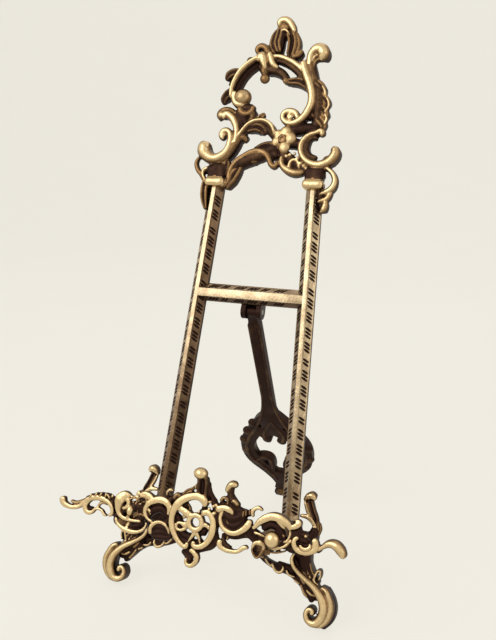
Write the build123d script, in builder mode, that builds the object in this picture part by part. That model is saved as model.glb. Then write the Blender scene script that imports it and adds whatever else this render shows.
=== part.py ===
from build123d import *
from math import atan2, cos, degrees, radians, sin
import os

os.makedirs("parts", exist_ok=True)

# A cast brass table easel, in millimetres. X runs to the right, the front faces -Y, +Z is up.
# The rails and the crest lie in one plane that leans back. Places on it are given as
# x across, s up the slope from the floor line, and n out of the plane towards the front.

# Stance
lean = 20.7
floor_line_y = -71.05
middle_x = -2.7

# Rails
rail_half_low = 55.3
rail_half_high = 41.2
rail_bottom = 72.0
rail_top = 325.0
rail_width = 13.2
rail_depth = 9.0
rail_band = 3.0
rail_edge = 3.0
tenon_diameter = 6.5
tenon_length = 11.0
fit_clearance = 0.1

# Cross bar and hinge
bar_height = 238.5
bar_width = 14.3
bar_band = 6.4
bar_band_drop = 1.0
bar_tenon_diameter = 4.0
bar_tenon_length = 4.0
hinge_drop = 12.0
hinge_setback = 5.0
ear_radius = 6.0
ear_thickness = 4.0
tongue_width = 8.0
tongue_side_gap = 0.4
pin_diameter = 4.0
pin_running_clearance = 0.05
stop_gap = 0.05

# Rear leg
leg_tilt = 24.7
leg_thickness = 7.0
leg_bar_width = 10.5
leg_web_top = 116.0
heel_rise = 3.6

# Crest
collar_width = 18.0
collar_rise = 13.0
collar_front = 10.0
crest_back = -4.0
crest_depth = 8.0
ridge_rise = 2.5
crest_shift_x = 3.0

# Feet
block_width = 18.0
block_height = 21.0
block_front = 7.0
block_back = 6.5
foot_back = 6.0
foot_depth = 17.0
prong_depth = 7.0

# Ledge
arm_inset = 2.8
arm_spread = rail_half_low - arm_inset
arm_width = 10.0
arm_height = 7.0
ledge_depth = 58.0
apron_height = 70.0
apron_shift_x = -middle_x
apron_thickness = 6.0
lug_length = 10.0
lug_thickness = 4.5

# Screws
screw_diameter = 3.0
screw_head_diameter = 5.6
screw_head_height = 2.2
screw_bite = 10.0


# Rail plane coordinates to the stand's own frame. The lopsided apron sets the outline's middle,
# so the rails stand a little to the left of it.
def at(x, s, n):
    tilt = radians(lean)
    return Vector(middle_x + x, floor_line_y + s * sin(tilt) - n * cos(tilt), s * cos(tilt) + n * sin(tilt))


forward = at(0, 0, 1) - at(0, 0, 0)
upslope = at(0, 1, 0) - at(0, 0, 0)
across = Vector(1, 0, 0)


def rail_half(s):
    share = s / rail_top
    return rail_half_low + (rail_half_high - rail_half_low) * share


# A plane parallel to the rail plane, with its origin at x, s, n
def frame_plane(x, s, n):
    return Plane(origin=at(x, s, n), x_dir=across, z_dir=forward)


rail_turn = degrees(atan2(rail_half_low - rail_half_high, rail_top))


# A plane square to a rail: its x runs outwards, its y to the front and its normal along the rail
def rail_section(side, s):
    turn = radians(rail_turn)
    along = upslope * cos(turn) - across * (side * sin(turn))
    outward = (across * cos(turn) + upslope * (side * sin(turn)))
    return Plane(origin=at(side * rail_half(s), s, 0), x_dir=outward, z_dir=along * -1)


# The bevelled bar section shared by the rails and the cross bar, with its front to +y.
# The flat band along the front may sit a little to one side.
def bar_profile(width, flat, shift=0.0):
    half = width / 2
    back = rail_depth / 2
    with BuildLine() as outline:
        Polyline(
            (-half, -back), (half, -back), (half, rail_edge - back), (shift + flat / 2, back),
            (shift - flat / 2, back), (-half, rail_edge - back), close=True,
        )
    make_face(outline.edges())


# One band of ornament: a smooth line through the points, with its width changing along it.
# On the inside of a tight bend the band is kept narrower than the bend's own radius.
def band(points, widths):
    with BuildLine():
        spine = Spline(*points)
    count = 4 * (len(points) - 1)
    reach = 0.3 / count
    left = []
    right = []
    for step in range(count + 1):
        share = step / count
        place = spine @ share
        run = spine % share
        before = spine % max(share - reach, 0)
        after = spine % min(share + reach, 1)
        bend = (before.X * after.Y - before.Y * after.X) / (2 * reach * spine.length)
        spot = share * (len(widths) - 1)
        low = min(int(spot), len(widths) - 2)
        half = (widths[low] + (widths[low + 1] - widths[low]) * (spot - low)) / 2
        room = 0.5 / max(abs(bend), 0.001)
        side = Vector(-run.Y, run.X)
        left.append(place + side * (min(half, room) if bend > 0 else half))
        right.append(place - side * (min(half, room) if bend < 0 else half))
    with BuildLine() as outline:
        Spline(*left)
        Line(left[-1], right[-1])
        Spline(*right[::-1])
        Line(right[0], left[0])
    make_face(outline.edges())


def discs(places):
    for x, y, radius in places:
        with Locations((x, y)):
            Circle(radius)


def mirrored(points, side):
    return [(side * x, y) for x, y in points]


# A plain rail bar without its tenons
def rail_bar(side):
    with BuildPart() as bar:
        with BuildSketch(rail_section(side, rail_bottom)):
            bar_profile(rail_width, rail_band)
        extrude(amount=-(rail_top - rail_bottom) / cos(radians(rail_turn)))
    return bar.part


# A screw with its head on the plane, its shank along the plane's normal
def screw_solid(seat, length):
    with BuildSketch(seat) as shank:
        Circle(screw_diameter / 2)
    extrude(shank.sketch, amount=length)
    with BuildSketch(seat) as head:
        Circle(screw_head_diameter / 2)
    extrude(head.sketch, amount=-screw_head_height)


# Screws seat on the back of the collars and the foot blocks, and below the apron's lugs
crest_screw_s = rail_top + tenon_length * 0.55
ledge_s = apron_height - arm_height / 2
crest_screw_length = -crest_back + collar_front - 3.0
foot_screw_length = block_back + block_front + screw_bite
apron_screw_length = lug_thickness + arm_height * 0.7
lug_s = apron_height - arm_height - lug_thickness
lug_screw_n = ledge_depth - lug_length * 0.55


def crest_screw_seat(side):
    return frame_plane(side * rail_half(crest_screw_s), crest_screw_s, crest_back)


def foot_screw_seat(side):
    return frame_plane(side * rail_half(ledge_s), ledge_s, -block_back)


def apron_screw_seat(side):
    return Plane(origin=at(side * arm_spread, lug_s, lug_screw_n), x_dir=across, z_dir=upslope)


def screw_hole(seat, depth):
    with BuildSketch(seat) as hole:
        Circle(screw_diameter / 2 + fit_clearance)
    extrude(hole.sketch, amount=depth, mode=Mode.SUBTRACT)


# Rails: bar, round tenons at both ends, cross holes for the screws and a hole for the cross bar
def make_rail(side):
    plain = rail_bar(side)
    with BuildPart() as rail:
        add(plain)
        with BuildSketch(rail_section(side, rail_top)):
            Circle(tenon_diameter / 2)
        extrude(amount=-tenon_length)
        with BuildSketch(rail_section(side, rail_bottom)):
            Circle(tenon_diameter / 2)
        extrude(amount=tenon_length)
        screw_hole(crest_screw_seat(side), crest_screw_length)
        screw_hole(foot_screw_seat(side), foot_screw_length)
        with BuildSketch(bar_tenon_plane(side).offset(-1)):
            Circle(bar_tenon_diameter / 2 + fit_clearance)
        extrude(amount=1 + bar_tenon_length + fit_clearance, mode=Mode.SUBTRACT)
    return rail


# The cross bar's tenons start on the rails' inner side faces
bar_tenon_n = -rail_depth / 2 + rail_edge


def bar_tenon_plane(side):
    section = rail_section(side, bar_height)
    root = section.origin - section.x_dir * (side * rail_width / 2) + forward * bar_tenon_n
    return Plane(origin=root, x_dir=upslope, z_dir=across * side)


left_rail = make_rail(-1)
left_rail.part.label = "left_rail"
export_step(left_rail.part, "parts/left_rail.step")

right_rail = make_rail(1)
right_rail.part.label = "right_rail"
export_step(right_rail.part, "parts/right_rail.step")

# Hinge: centre below and behind the cross bar
hinge_s = bar_height - hinge_drop
hinge_n = -rail_depth / 2 - hinge_setback
hinge = at(0, hinge_s, hinge_n)
ear_inner = tongue_width / 2 + tongue_side_gap
ear_outer = ear_inner + ear_thickness
ear_plane = Plane(origin=at(0, hinge_s, hinge_n), x_dir=forward, z_dir=across * -1)
bar_under = hinge_drop - bar_width / 2

plain_left = rail_bar(-1)
plain_right = rail_bar(1)

with BuildPart() as cross_bar:
    reach = rail_half(bar_height)
    with BuildSketch(Plane(origin=at(-reach, bar_height, 0), x_dir=upslope, z_dir=across)):
        bar_profile(bar_width, bar_band, -bar_band_drop)
    extrude(amount=2 * reach)
    add(plain_left, mode=Mode.SUBTRACT)
    add(plain_right, mode=Mode.SUBTRACT)
    for side in (-1, 1):
        with BuildSketch(bar_tenon_plane(side)):
            Circle(bar_tenon_diameter / 2)
        extrude(amount=bar_tenon_length)
        with BuildSketch(bar_tenon_plane(side)):
            Circle(bar_tenon_diameter / 2)
        extrude(amount=-rail_width / 2)
    # Back block over the tongue, which the leg's heel meets from below
    with BuildSketch(ear_plane.offset(-ear_outer)):
        with BuildLine():
            Polyline(
                (-ear_radius, bar_under), (hinge_setback, bar_under),
                (hinge_setback, bar_under + bar_width), (-ear_radius, bar_under + bar_width * 0.6),
                close=True,
            )
        make_face()
    extrude(amount=2 * ear_outer)
    # Two rounded ears with the pin's hole
    for start in (-ear_outer, ear_inner):
        with BuildSketch(ear_plane.offset(start)):
            Circle(ear_radius)
            with BuildLine():
                Polyline(
                    (-ear_radius, 0), (ear_radius, 0), (hinge_setback, bar_under + 1),
                    (-ear_radius, bar_under + 1), close=True,
                )
            make_face()
        extrude(amount=ear_thickness)
    with BuildSketch(ear_plane.offset(-ear_outer)):
        Circle(pin_diameter / 2)
    extrude(amount=2 * ear_outer, mode=Mode.SUBTRACT)

cross_bar.part.label = "cross_bar"
export_step(cross_bar.part, "parts/cross_bar.step")

with BuildPart() as hinge_pin:
    with BuildSketch(ear_plane.offset(-ear_outer)):
        Circle(pin_diameter / 2)
    extrude(amount=2 * ear_outer)

hinge_pin.part.label = "hinge_pin"
export_step(hinge_pin.part, "parts/hinge_pin.step")

# Rear leg: its plane runs from the floor up to the hinge, with the origin at the floor
leg_length = hinge.Z / cos(radians(leg_tilt))
leg_up = Vector(0, -sin(radians(leg_tilt)), cos(radians(leg_tilt)))
leg_front = Vector(0, -cos(radians(leg_tilt)), -sin(radians(leg_tilt)))
leg_base = hinge - leg_up * leg_length


def leg_plane(depth):
    return Plane(origin=leg_base + leg_front * depth, x_dir=across, z_dir=leg_front)


lyre_side = [(2, 114), (10, 103), (18, 90), (26, 77), (28, 64), (24, 51), (15, 41), (7, 31), (3, 21)]
lyre_curl = [(23, 47), (16, 54), (9.5, 54), (7, 47), (8, 39)]

with BuildPart() as rear_leg:
    with BuildSketch(leg_plane(-leg_thickness / 2)):
        with BuildLine():
            Polyline(
                (-leg_bar_width / 2, leg_web_top - 6), (leg_bar_width / 2, leg_web_top - 6),
                (leg_bar_width / 2, leg_length - ear_radius * 2),
                (tongue_width / 2, leg_length - ear_radius * 1.4),
                (-tongue_width / 2, leg_length - ear_radius * 1.4),
                (-leg_bar_width / 2, leg_length - ear_radius * 2), close=True,
            )
        make_face()
        for side in (-1, 1):
            band(mirrored(lyre_side, side), [9, 13, 13, 14, 13, 13, 12, 11, 8])
            band(mirrored(lyre_curl, side), [8, 7, 6, 6, 6])
        with BuildLine():
            Polyline((-6, 114), (6, 114), (20, 88), (11, 83), (0, 88), (-11, 83), (-20, 88), close=True)
        make_face()
        band([(0, 36), (-1, 24), (-3, 12)], [11, 9, 11])
        discs([(-3, 6, 6.5), (-7, 82, 4.5), (7, 82, 4.5)])
        for side in (-1, 1):
            with Locations((side * 12.5, 99)):
                Circle(2.2, mode=Mode.SUBTRACT)
    extrude(amount=leg_thickness)
    # Tongue round the pin, with a heel that meets the block under the cross bar when the leg is open
    with BuildSketch(Plane(origin=hinge - across * (tongue_width / 2), x_dir=leg_front, z_dir=across * -1)):
        Circle(bar_under - 0.7)
        with BuildLine():
            Polyline(
                (-leg_thickness / 2, 0), (leg_thickness / 2, 0), (leg_thickness / 2, -ear_radius * 2.2),
                (-leg_thickness / 2, -ear_radius * 2.2), close=True,
            )
        make_face()
    extrude(amount=-tongue_width)
    # Heel, cut back to the block's underside
    heel_plane = Plane(origin=hinge - across * (tongue_width / 2), x_dir=forward, z_dir=across * -1)
    with BuildSketch(heel_plane):
        with BuildLine():
            Polyline(
                (0, bar_under - stop_gap), (-heel_rise, bar_under - stop_gap), (-ear_radius, 0), (0, 0),
                close=True,
            )
        make_face()
    extrude(amount=-tongue_width)
    with BuildSketch(ear_plane.offset(-tongue_width)):
        Circle(pin_diameter / 2 + pin_running_clearance)
    extrude(amount=2 * tongue_width, mode=Mode.SUBTRACT)
    split(bisect_by=Plane.XY, keep=Keep.TOP)

rear_leg.part.label = "rear_leg"
export_step(rear_leg.part, "parts/rear_leg.step")

# Crest: strokes measured from the middle of the collar line
crest_s = rail_top + 3.5
ring = [(-38, 68), (-37, 78), (-32, 88), (-23, 96), (-11, 99.5), (3, 97), (14, 89.5), (23, 79), (28, 67),
        (28, 57), (23, 50.5), (15, 47)]
finial_left = [(-9, 102), (-8, 115), (-5, 127), (0, 134)]
finial_right = [(9, 100), (9.5, 112), (6, 123), (0, 133)]
top_leaf = [(31, 68), (30, 80), (27, 90), (28, 98), (30, 102)]
bracket = [(-6, 92), (2, 88), (6, 83), (14, 81), (23, 74)]
left_neck = [(-26, 53), (-28, 44), (-31, 33), (-36, 22)]
left_hook = [(-45, 56), (-38, 56), (-33, 50), (-31, 41), (-33, 31)]
left_volute = [(-42, 41), (-37, 38), (-36.5, 31), (-40, 23), (-47, 19), (-55, 20), (-59, 25)]
stem = [(-37, 21), (-29, 32), (-22, 41), (-14, 46), (-6, 45), (0, 40), (4, 34)]
low_band = [(-33, 0), (-31, 10), (-25, 17.5), (-16, 21.5), (-7, 24), (3, 27)]
right_low = [(10, 24), (10.5, 15), (16, 9.5), (23, 7), (31, 6)]
right_rib = [(12, 21), (18, 18), (24, 16.5), (29, 13), (35, 8)]
right_hook = [(42, 38), (35, 36.5), (28, 35), (25, 29), (27, 21), (32, 16), (39, 14), (46, 15), (52, 20),
              (53, 25)]
acanthus = [(32, 76), (35, 64), (35, 52), (33, 40)]
left_loop = [(-60, 21), (-63, 14), (-60, 7), (-56, 2), (-54, -7), (-53, -19), (-50.5, -29)]
right_loop = [(46, 12), (52, 8), (55, 0), (52.5, -9), (51, -19), (48, -29)]
left_leaf = [(-36, 6), (-30, 2), (-31, -6), (-35, -9)]
flower_x = 9.5
flower_y = 33.0
petal_ring = 8.0
petal_radius = 4.6

with BuildPart() as crest:
    with BuildSketch(frame_plane(crest_shift_x, crest_s, crest_back)):
        band(ring, [8, 9, 10, 11, 12, 11, 10, 10, 10, 9, 9, 8])
        band(finial_left, [8, 9, 8, 4])
        band(finial_right, [8, 8, 7, 4])
        band(top_leaf, [8, 8, 8, 10, 12])
        band(bracket, [6, 6, 6, 5, 6])
        band(left_neck, [9, 6, 6, 9])
        band(left_hook, [7, 8, 7, 6, 5])
        band(left_volute, [5, 6, 7, 8, 9, 9, 8])
        band(stem, [9, 7, 8, 9, 9, 8, 8])
        band(low_band, [8, 7, 8, 9, 10, 10])
        band(right_low, [6, 6, 6, 6, 7])
        band(right_rib, [4, 4, 4, 4, 6])
        band(right_hook, [6, 5, 6, 7, 7, 7, 7, 6, 6, 6])
        band(acanthus, [9, 12, 12, 12])
        band(left_loop, [5, 5, 5, 6, 5, 6, 2])
        band(right_loop, [7, 6, 5, 6, 6, 2])
        band(left_leaf, [8, 8, 7, 3])
        discs([(-27, 68, 8), (-24, 56, 7), (12, 53, 6.5), (30, 103, 8.5), (-11.5, 85, 5), (-53, 25, 8)])
        discs([(-44, 53, 5), (-42, 37, 4), (-22, 33, 3.5)])
        band([(-11, 98), (-11.5, 85)], [7, 7])
        discs([(-42, 88, 4.5), (-44, 69, 5), (-27, 100, 3), (-19, 107, 4.5), (15, 103, 3.5), (18, 93, 3.5)])
        discs([(37, 73, 4), (39, 62, 4.5), (39, 52, 4.5), (39, 41, 4.5), (-10, 52, 3), (-9, 41, 4)])
        discs([(-15, 17, 4.5), (-26, 8, 4.5), (4, 16, 5), (53, 24, 4.5), (20, 40, 5)])
        discs([(flower_x, flower_y, 6)])
        with Locations((flower_x, flower_y)):
            with PolarLocations(petal_ring, 5, start_angle=20):
                Circle(petal_radius)
        for side in (-1, 1):
            with Locations((side * rail_half_high - crest_shift_x, 8)):
                Rectangle(collar_width - 3, 22)
        band([(-46, 18), (-40, 12), (-36, 4)], [12, 14, 12])
        band([(28, 30), (20, 26), (9, 22)], [14, 10, 8])
    extrude(amount=crest_depth)
    with BuildSketch(frame_plane(crest_shift_x, crest_s, crest_back + crest_depth)):
        band(ring, [3, 3, 3, 4, 4, 4, 4, 4, 4, 3, 3, 3])
        band(left_hook, [3, 3, 3, 3, 2])
        band(left_volute, [2, 3, 3, 3, 4, 4, 4])
        band(stem, [3, 3, 3, 3, 4, 4, 4])
        band(low_band, [3, 3, 3, 3, 3, 3])
        band(right_hook, [3, 2, 3, 3, 3, 3, 3, 3, 3, 3])
        band(right_low, [2, 2, 2, 2, 2])
        with Locations((flower_x, flower_y)):
            with PolarLocations(petal_ring, 5, start_angle=20):
                Circle(petal_radius - 1)
            Circle(4)
    extrude(amount=ridge_rise)
    # Balls at the ends of the scrolls
    for x, y, radius in [(-27, 68, 8), (30, 103, 8.5), (-11.5, 85, 5), (-53, 25, 8), (53, 24, 4.5)]:
        with Locations(at(crest_shift_x + x, crest_s + y, crest_back + crest_depth - 2)):
            Sphere(radius - 0.4)
    # Collars round the rails' upper tenons
    for side in (-1, 1):
        section = rail_section(side, rail_top)
        middle = (collar_front + crest_back) / 2
        with BuildSketch(section):
            with Locations((0, middle)):
                RectangleRounded(collar_width, collar_front - crest_back, 3)
        extrude(amount=-collar_rise)
    add(plain_left, mode=Mode.SUBTRACT)
    add(plain_right, mode=Mode.SUBTRACT)
    for side in (-1, 1):
        with BuildSketch(rail_section(side, rail_top)):
            Circle(tenon_diameter / 2 + fit_clearance)
        extrude(amount=-(tenon_length + fit_clearance), mode=Mode.SUBTRACT)
        screw_hole(crest_screw_seat(side), crest_screw_length + fit_clearance)
        with BuildSketch(crest_screw_seat(side)):
            Circle(screw_head_diameter / 2 + 1)
        extrude(amount=-screw_head_height * 2, mode=Mode.SUBTRACT)

crest.part.label = "crest"
export_step(crest.part, "parts/crest.step")

# Feet: strokes measured from the foot of the rail's centre line
foot_shaft = [(4, 44), (10, 39.5), (17, 35), (24, 29.5), (29.5, 22.5), (32, 15), (30, 8.5), (25, 5.5),
              (20, 8)]
foot_inner = [(20, 7), (18, 12), (20, 17)]
foot_prong = [(9, 48), (13, 56), (13.5, 66), (12, 78), (10.5, 87), (9.5, 93)]
foot_lace = [(-9, 45), (-6, 38), (1, 36), (8, 32), (13, 25), (18, 20)]


def make_foot(side):
    root = side * rail_half_low
    top = rail_section(side, rail_bottom)
    with BuildPart() as foot:
        with BuildSketch(frame_plane(root, 0, -foot_back)):
            band(mirrored(foot_shaft, side), [10, 10, 11, 13, 14, 14, 12, 10, 8])
            band(mirrored(foot_inner, side), [7, 5, 5])
            discs([(side * 23.5, 13.5, 4)])
        extrude(amount=foot_depth)
        # Leaf lace inside the shaft, and the ring volute under the rail
        with BuildSketch(frame_plane(root, 0, -foot_back)):
            band(mirrored(foot_lace, side), [8, 8, 8, 9, 9, 7])
            with Locations((-side * 3, 45)):
                Circle(9.5)
                Circle(5, mode=Mode.SUBTRACT)
            discs([(-side * 4, 36, 4), (side * 6, 29, 4.5), (side * 12, 21, 4.5)])
        extrude(amount=foot_depth - 6)
        # Leaf prong that stands beside the rail
        with BuildSketch(frame_plane(root, 0, -foot_back + 4)):
            band(mirrored(foot_prong, side), [14, 11, 8, 7, 6, 7])
            discs([(side * 9.5, 93, 4.3)])
        extrude(amount=prong_depth)
        with BuildSketch(top):
            with Locations((0, (block_front - block_back) / 2)):
                Rectangle(block_width, block_front + block_back)
        extrude(amount=block_height)
        with BuildSketch(top):
            Circle(tenon_diameter / 2 + fit_clearance)
        extrude(amount=tenon_length + fit_clearance, mode=Mode.SUBTRACT)
        screw_hole(foot_screw_seat(side), block_back + block_front + 1)
        split(bisect_by=Plane.XY, keep=Keep.TOP)
    return foot


left_foot = make_foot(-1)
left_foot.part.label = "left_foot"
export_step(left_foot.part, "parts/left_foot.step")

right_foot = make_foot(1)
right_foot.part.label = "right_foot"
export_step(right_foot.part, "parts/right_foot.step")


# Ledge arms: square bars from the foot blocks to the back of the apron
def make_arm(side):
    low = apron_height - arm_height
    with BuildPart() as arm:
        with BuildSketch(frame_plane(side * arm_spread, low + arm_height / 2, block_front)):
            Rectangle(arm_width, arm_height)
        extrude(amount=ledge_depth - block_front)
        screw_hole(foot_screw_seat(side), foot_screw_length + fit_clearance)
        screw_hole(apron_screw_seat(side), apron_screw_length + fit_clearance)
    return arm


left_ledge_arm = make_arm(-1)
left_ledge_arm.part.label = "left_ledge_arm"
export_step(left_ledge_arm.part, "parts/left_ledge_arm.step")

right_ledge_arm = make_arm(1)
right_ledge_arm.part.label = "right_ledge_arm"
export_step(right_ledge_arm.part, "parts/right_ledge_arm.step")

# Apron: strokes measured from the middle of the medallion
left_tip = [(-105, -1), (-102, -5), (-97, -6), (-91, -3), (-85, 2), (-78, 5), (-71, 4), (-66, -1), (-65, -6)]
left_wave = [(-86, 1), (-86, -5), (-82, -8), (-78, -5), (-74, -3), (-70, -6)]
left_curl = [(-66, 8), (-58, 10), (-50, 10), (-42, 12), (-34, 13)]
left_c = [(-55, 4), (-60, 6), (-61, 0), (-58, -5), (-51, -7), (-44, -7), (-37, -6)]
left_loop_low = [(-61, -6), (-59, -10), (-53, -13), (-46, -14), (-39, -12), (-36, -6)]
ring_scroll = [(-36, 2), (-38.5, 1), (-37, -4), (-32, -5), (-27, -2), (-21, -2)]
ring_top = [(-38, 3), (-35, 8), (-28, 10.5), (-22, 8), (-20, 2)]
pendant = [(-1, -17), (4, -20), (5, -25), (1, -29), (-3, -26)]
right_c = [(26, 13), (20, 15), (17.5, 7), (20, 1), (28, -1.5), (35, 2), (39, 8)]
low_wave = [(19, -9), (22, -13), (30, -13.5), (37, -10), (43, -9)]
ball_ring = [(39, 1), (45, 9), (53, 13.5), (61, 13), (67, 8), (67, 0), (62, -6)]
right_scroll = [(73, 3), (71, -1), (74, -5), (80, -5.5), (85, -3), (85, 4)]
right_tip = [(86, -2), (91, 2), (97, 4), (103, 2), (105, -2)]
knob_stem = [(4, 15), (3, 24), (1, 32)]
leaf_knob = [(22, 14), (24, 22), (25, 29)]
top_leaf_right = [(40, 9), (42, 16), (46, 17)]
ball_leaf = [(61, 13), (68, 11), (73, 14)]
medallion_x = 17.0
medallion_y = 17.8

with BuildPart() as apron:
    with BuildSketch(frame_plane(apron_shift_x, apron_height, ledge_depth)):
        band(left_tip, [5, 4, 4, 4, 6, 6, 6, 4, 5])
        band(left_wave, [4, 4, 4, 3, 3, 4])
        band(left_curl, [4, 6, 5, 5, 6])
        band(left_c, [5, 6, 5, 4, 4, 4, 4])
        band(left_loop_low, [4, 4, 4, 4, 4, 4])
        band(ring_scroll, [4, 4, 4, 5, 4, 6])
        band(ring_top, [4, 5, 6, 6, 6])
        band(pendant, [5, 4, 4, 4, 5])
        band(right_c, [6, 6, 5, 4, 4, 5, 6])
        band(low_wave, [5, 4, 3, 4, 6])
        band(ball_ring, [4, 5, 6, 6, 5, 4, 4])
        band(right_scroll, [5, 4, 4, 4, 5, 6])
        band(right_tip, [5, 6, 6, 6, 5])
        band(knob_stem, [15, 11, 8])
        band(leaf_knob, [12, 8, 7])
        band(top_leaf_right, [6, 5, 4])
        band(ball_leaf, [6, 6, 5])
        band([(-66, 0), (-63, 2)], [6, 6])
        band([(36, 3), (46, 1), (53, 0)], [4, 3, 4])
        band([(-50, -2), (-50, -13)], [8, 4])
        band([(57, -4), (53, -10), (48, -9)], [8, 6, 5])
        band([(64, -5), (69, -3), (72, -1)], [6, 6, 5])
        band([(26, -1), (27, -8), (24, -13)], [8, 4, 4])
        band([(12, 14), (17, 12), (20, 12)], [9, 9, 7])
        band([(12, -6), (18, -8), (22, -4)], [6, 6, 5])
        band([(28, 12), (34, 13), (40, 11)], [5, 6, 5])
        discs([(-50, -2, 5), (0, 34, 5.5), (25, 29, 4.2), (56, 0, 6.5), (46, -9, 5), (-22, 16, 4)])
        discs([(-14, 15, 4.5)])
        with Locations((0, 0)):
            Ellipse(medallion_x, medallion_y)
            Ellipse(medallion_x - 4.5, medallion_y - 4.5, mode=Mode.SUBTRACT)
            Circle(7)
        for turn in (25, 100, 160, 215, 285, 335):
            tip = Vector(medallion_x - 2, 0).rotate(Axis.Z, turn)
            band([(tip.X * 0.35, tip.Y * 0.35), (tip.X * 0.7, tip.Y * 0.7), (tip.X, tip.Y)], [5, 4, 5])
        Circle(4.2, mode=Mode.SUBTRACT)
        for side in (-1, 1):
            with Locations((side * arm_spread - apron_shift_x, lug_s + lug_thickness / 2 - apron_height)):
                Rectangle(arm_width, lug_thickness + 1)
    extrude(amount=apron_thickness)
    for x, y, radius in [(-50, -2, 5), (0, 34, 5.5), (25, 29, 4.2), (56, 0, 6.5)]:
        out = ledge_depth + max(apron_thickness - 1, radius)
        with Locations(at(apron_shift_x + x, apron_height + y, out)):
            Sphere(radius - 0.3)
    # Lugs under the ledge arms
    for side in (-1, 1):
        with BuildSketch(frame_plane(side * arm_spread, lug_s + lug_thickness / 2, ledge_depth - lug_length)):
            Rectangle(arm_width, lug_thickness)
        extrude(amount=lug_length + 1)
        screw_hole(apron_screw_seat(side), lug_thickness + 1)

apron.part.label = "apron"
export_step(apron.part, "parts/apron.step")


# Screws
def make_screw(seat, length):
    with BuildPart() as screw:
        screw_solid(seat, length)
    return screw


for side, name in ((-1, "left"), (1, "right")):
    crest_screw = make_screw(crest_screw_seat(side), crest_screw_length)
    crest_screw.part.label = name + "_crest_screw"
    export_step(crest_screw.part, "parts/" + name + "_crest_screw.step")
    foot_screw = make_screw(foot_screw_seat(side), foot_screw_length)
    foot_screw.part.label = name + "_foot_screw"
    export_step(foot_screw.part, "parts/" + name + "_foot_screw.step")
    apron_screw = make_screw(apron_screw_seat(side), apron_screw_length)
    apron_screw.part.label = name + "_apron_screw"
    export_step(apron_screw.part, "parts/" + name + "_apron_screw.step")
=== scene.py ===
import math

import bpy
from mathutils import Matrix, Vector
from mathutils.bvhtree import BVHTree


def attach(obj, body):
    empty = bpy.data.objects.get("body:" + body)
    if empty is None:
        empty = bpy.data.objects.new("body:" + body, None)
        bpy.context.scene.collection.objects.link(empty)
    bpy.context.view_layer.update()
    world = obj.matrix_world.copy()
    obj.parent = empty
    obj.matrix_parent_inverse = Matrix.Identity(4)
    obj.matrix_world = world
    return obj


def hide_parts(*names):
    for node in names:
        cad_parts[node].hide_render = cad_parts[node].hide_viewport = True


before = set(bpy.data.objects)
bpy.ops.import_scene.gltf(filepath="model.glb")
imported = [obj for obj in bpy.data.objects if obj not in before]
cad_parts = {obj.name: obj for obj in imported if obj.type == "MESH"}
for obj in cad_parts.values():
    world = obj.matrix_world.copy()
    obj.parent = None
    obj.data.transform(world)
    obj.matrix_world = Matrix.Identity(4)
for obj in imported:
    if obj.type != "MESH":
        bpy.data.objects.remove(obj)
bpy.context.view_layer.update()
bpy.ops.object.select_all(action="DESELECT")
print("frame loaded")

# the ornament is drawn flat in millimetres: x across, y up the slope, z out to the front
stance = {
    "lean": 20.7, "floorLine": -0.07105, "middle": -2.7,
    "railLow": 55.3, "railHigh": 41.2, "railFoot": 72, "railTop": 325.0,
    "hinge": (-0.0027, 0.0178988, 0.2085201), "legTilt": 24.7,
}
toMetres = Matrix.Scale(0.001, 4)
weldGap = 0.000002


def planeAt(spot, up, out):
    turned = Matrix((Vector((1, 0, 0)), up, out)).transposed().to_4x4()
    return Matrix.Translation(spot) @ turned @ toMetres


# the plane of the rails and the crest
def leaningPlane():
    turn = math.radians(stance["lean"])
    up = Vector((0, math.sin(turn), math.cos(turn)))
    out = Vector((0, -math.cos(turn), math.sin(turn)))
    return planeAt((0, stance["floorLine"], 0), up, out)


def legPlane():
    turn = math.radians(stance["legTilt"])
    up = Vector((0, -math.sin(turn), math.cos(turn)))
    out = Vector((0, -math.cos(turn), -math.sin(turn)))
    foot = Vector(stance["hinge"]) - up * (stance["hinge"][2] / math.cos(turn))
    return planeAt(foot, up, out)


def pick(*objs):
    bpy.ops.object.select_all(action="DESELECT")
    for obj in objs:
        obj.select_set(True)
    bpy.context.view_layer.objects.active = objs[0]


def editAll(obj, *steps):
    pick(obj)
    bpy.ops.object.mode_set(mode="EDIT")
    bpy.ops.mesh.select_all(action="SELECT")
    for step in steps:
        step()
    bpy.ops.object.mode_set(mode="OBJECT")


def applyModifier(obj, kind, **values):
    pick(obj)
    added = obj.modifiers.new(kind.lower(), kind)
    for key, value in values.items():
        setattr(added, key, value)
    bpy.ops.object.modifier_apply(modifier=added.name)


def softenEdges(obj, width, segments, angle):
    applyModifier(obj, "BEVEL", width=width, segments=segments, limit_method="ANGLE",
                  angle_limit=math.radians(angle))


# this attribute runs from 0, dark hollow, to 1, polished bright; it holds the patina's wear and, on the bars,
# the leg and parts of the feet and apron, painted light and shade as well
def paintWearAndShade(obj, rule):
    wear = obj.data.attributes.new("wearAndShade", "FLOAT", "POINT")
    for vert in obj.data.vertices:
        wear.data[vert.index].value = rule(vert)


def surfaceTree(mesh):
    return BVHTree.FromPolygons([vert.co for vert in mesh.vertices],
                                [tuple(face.vertices) for face in mesh.polygons])
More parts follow.
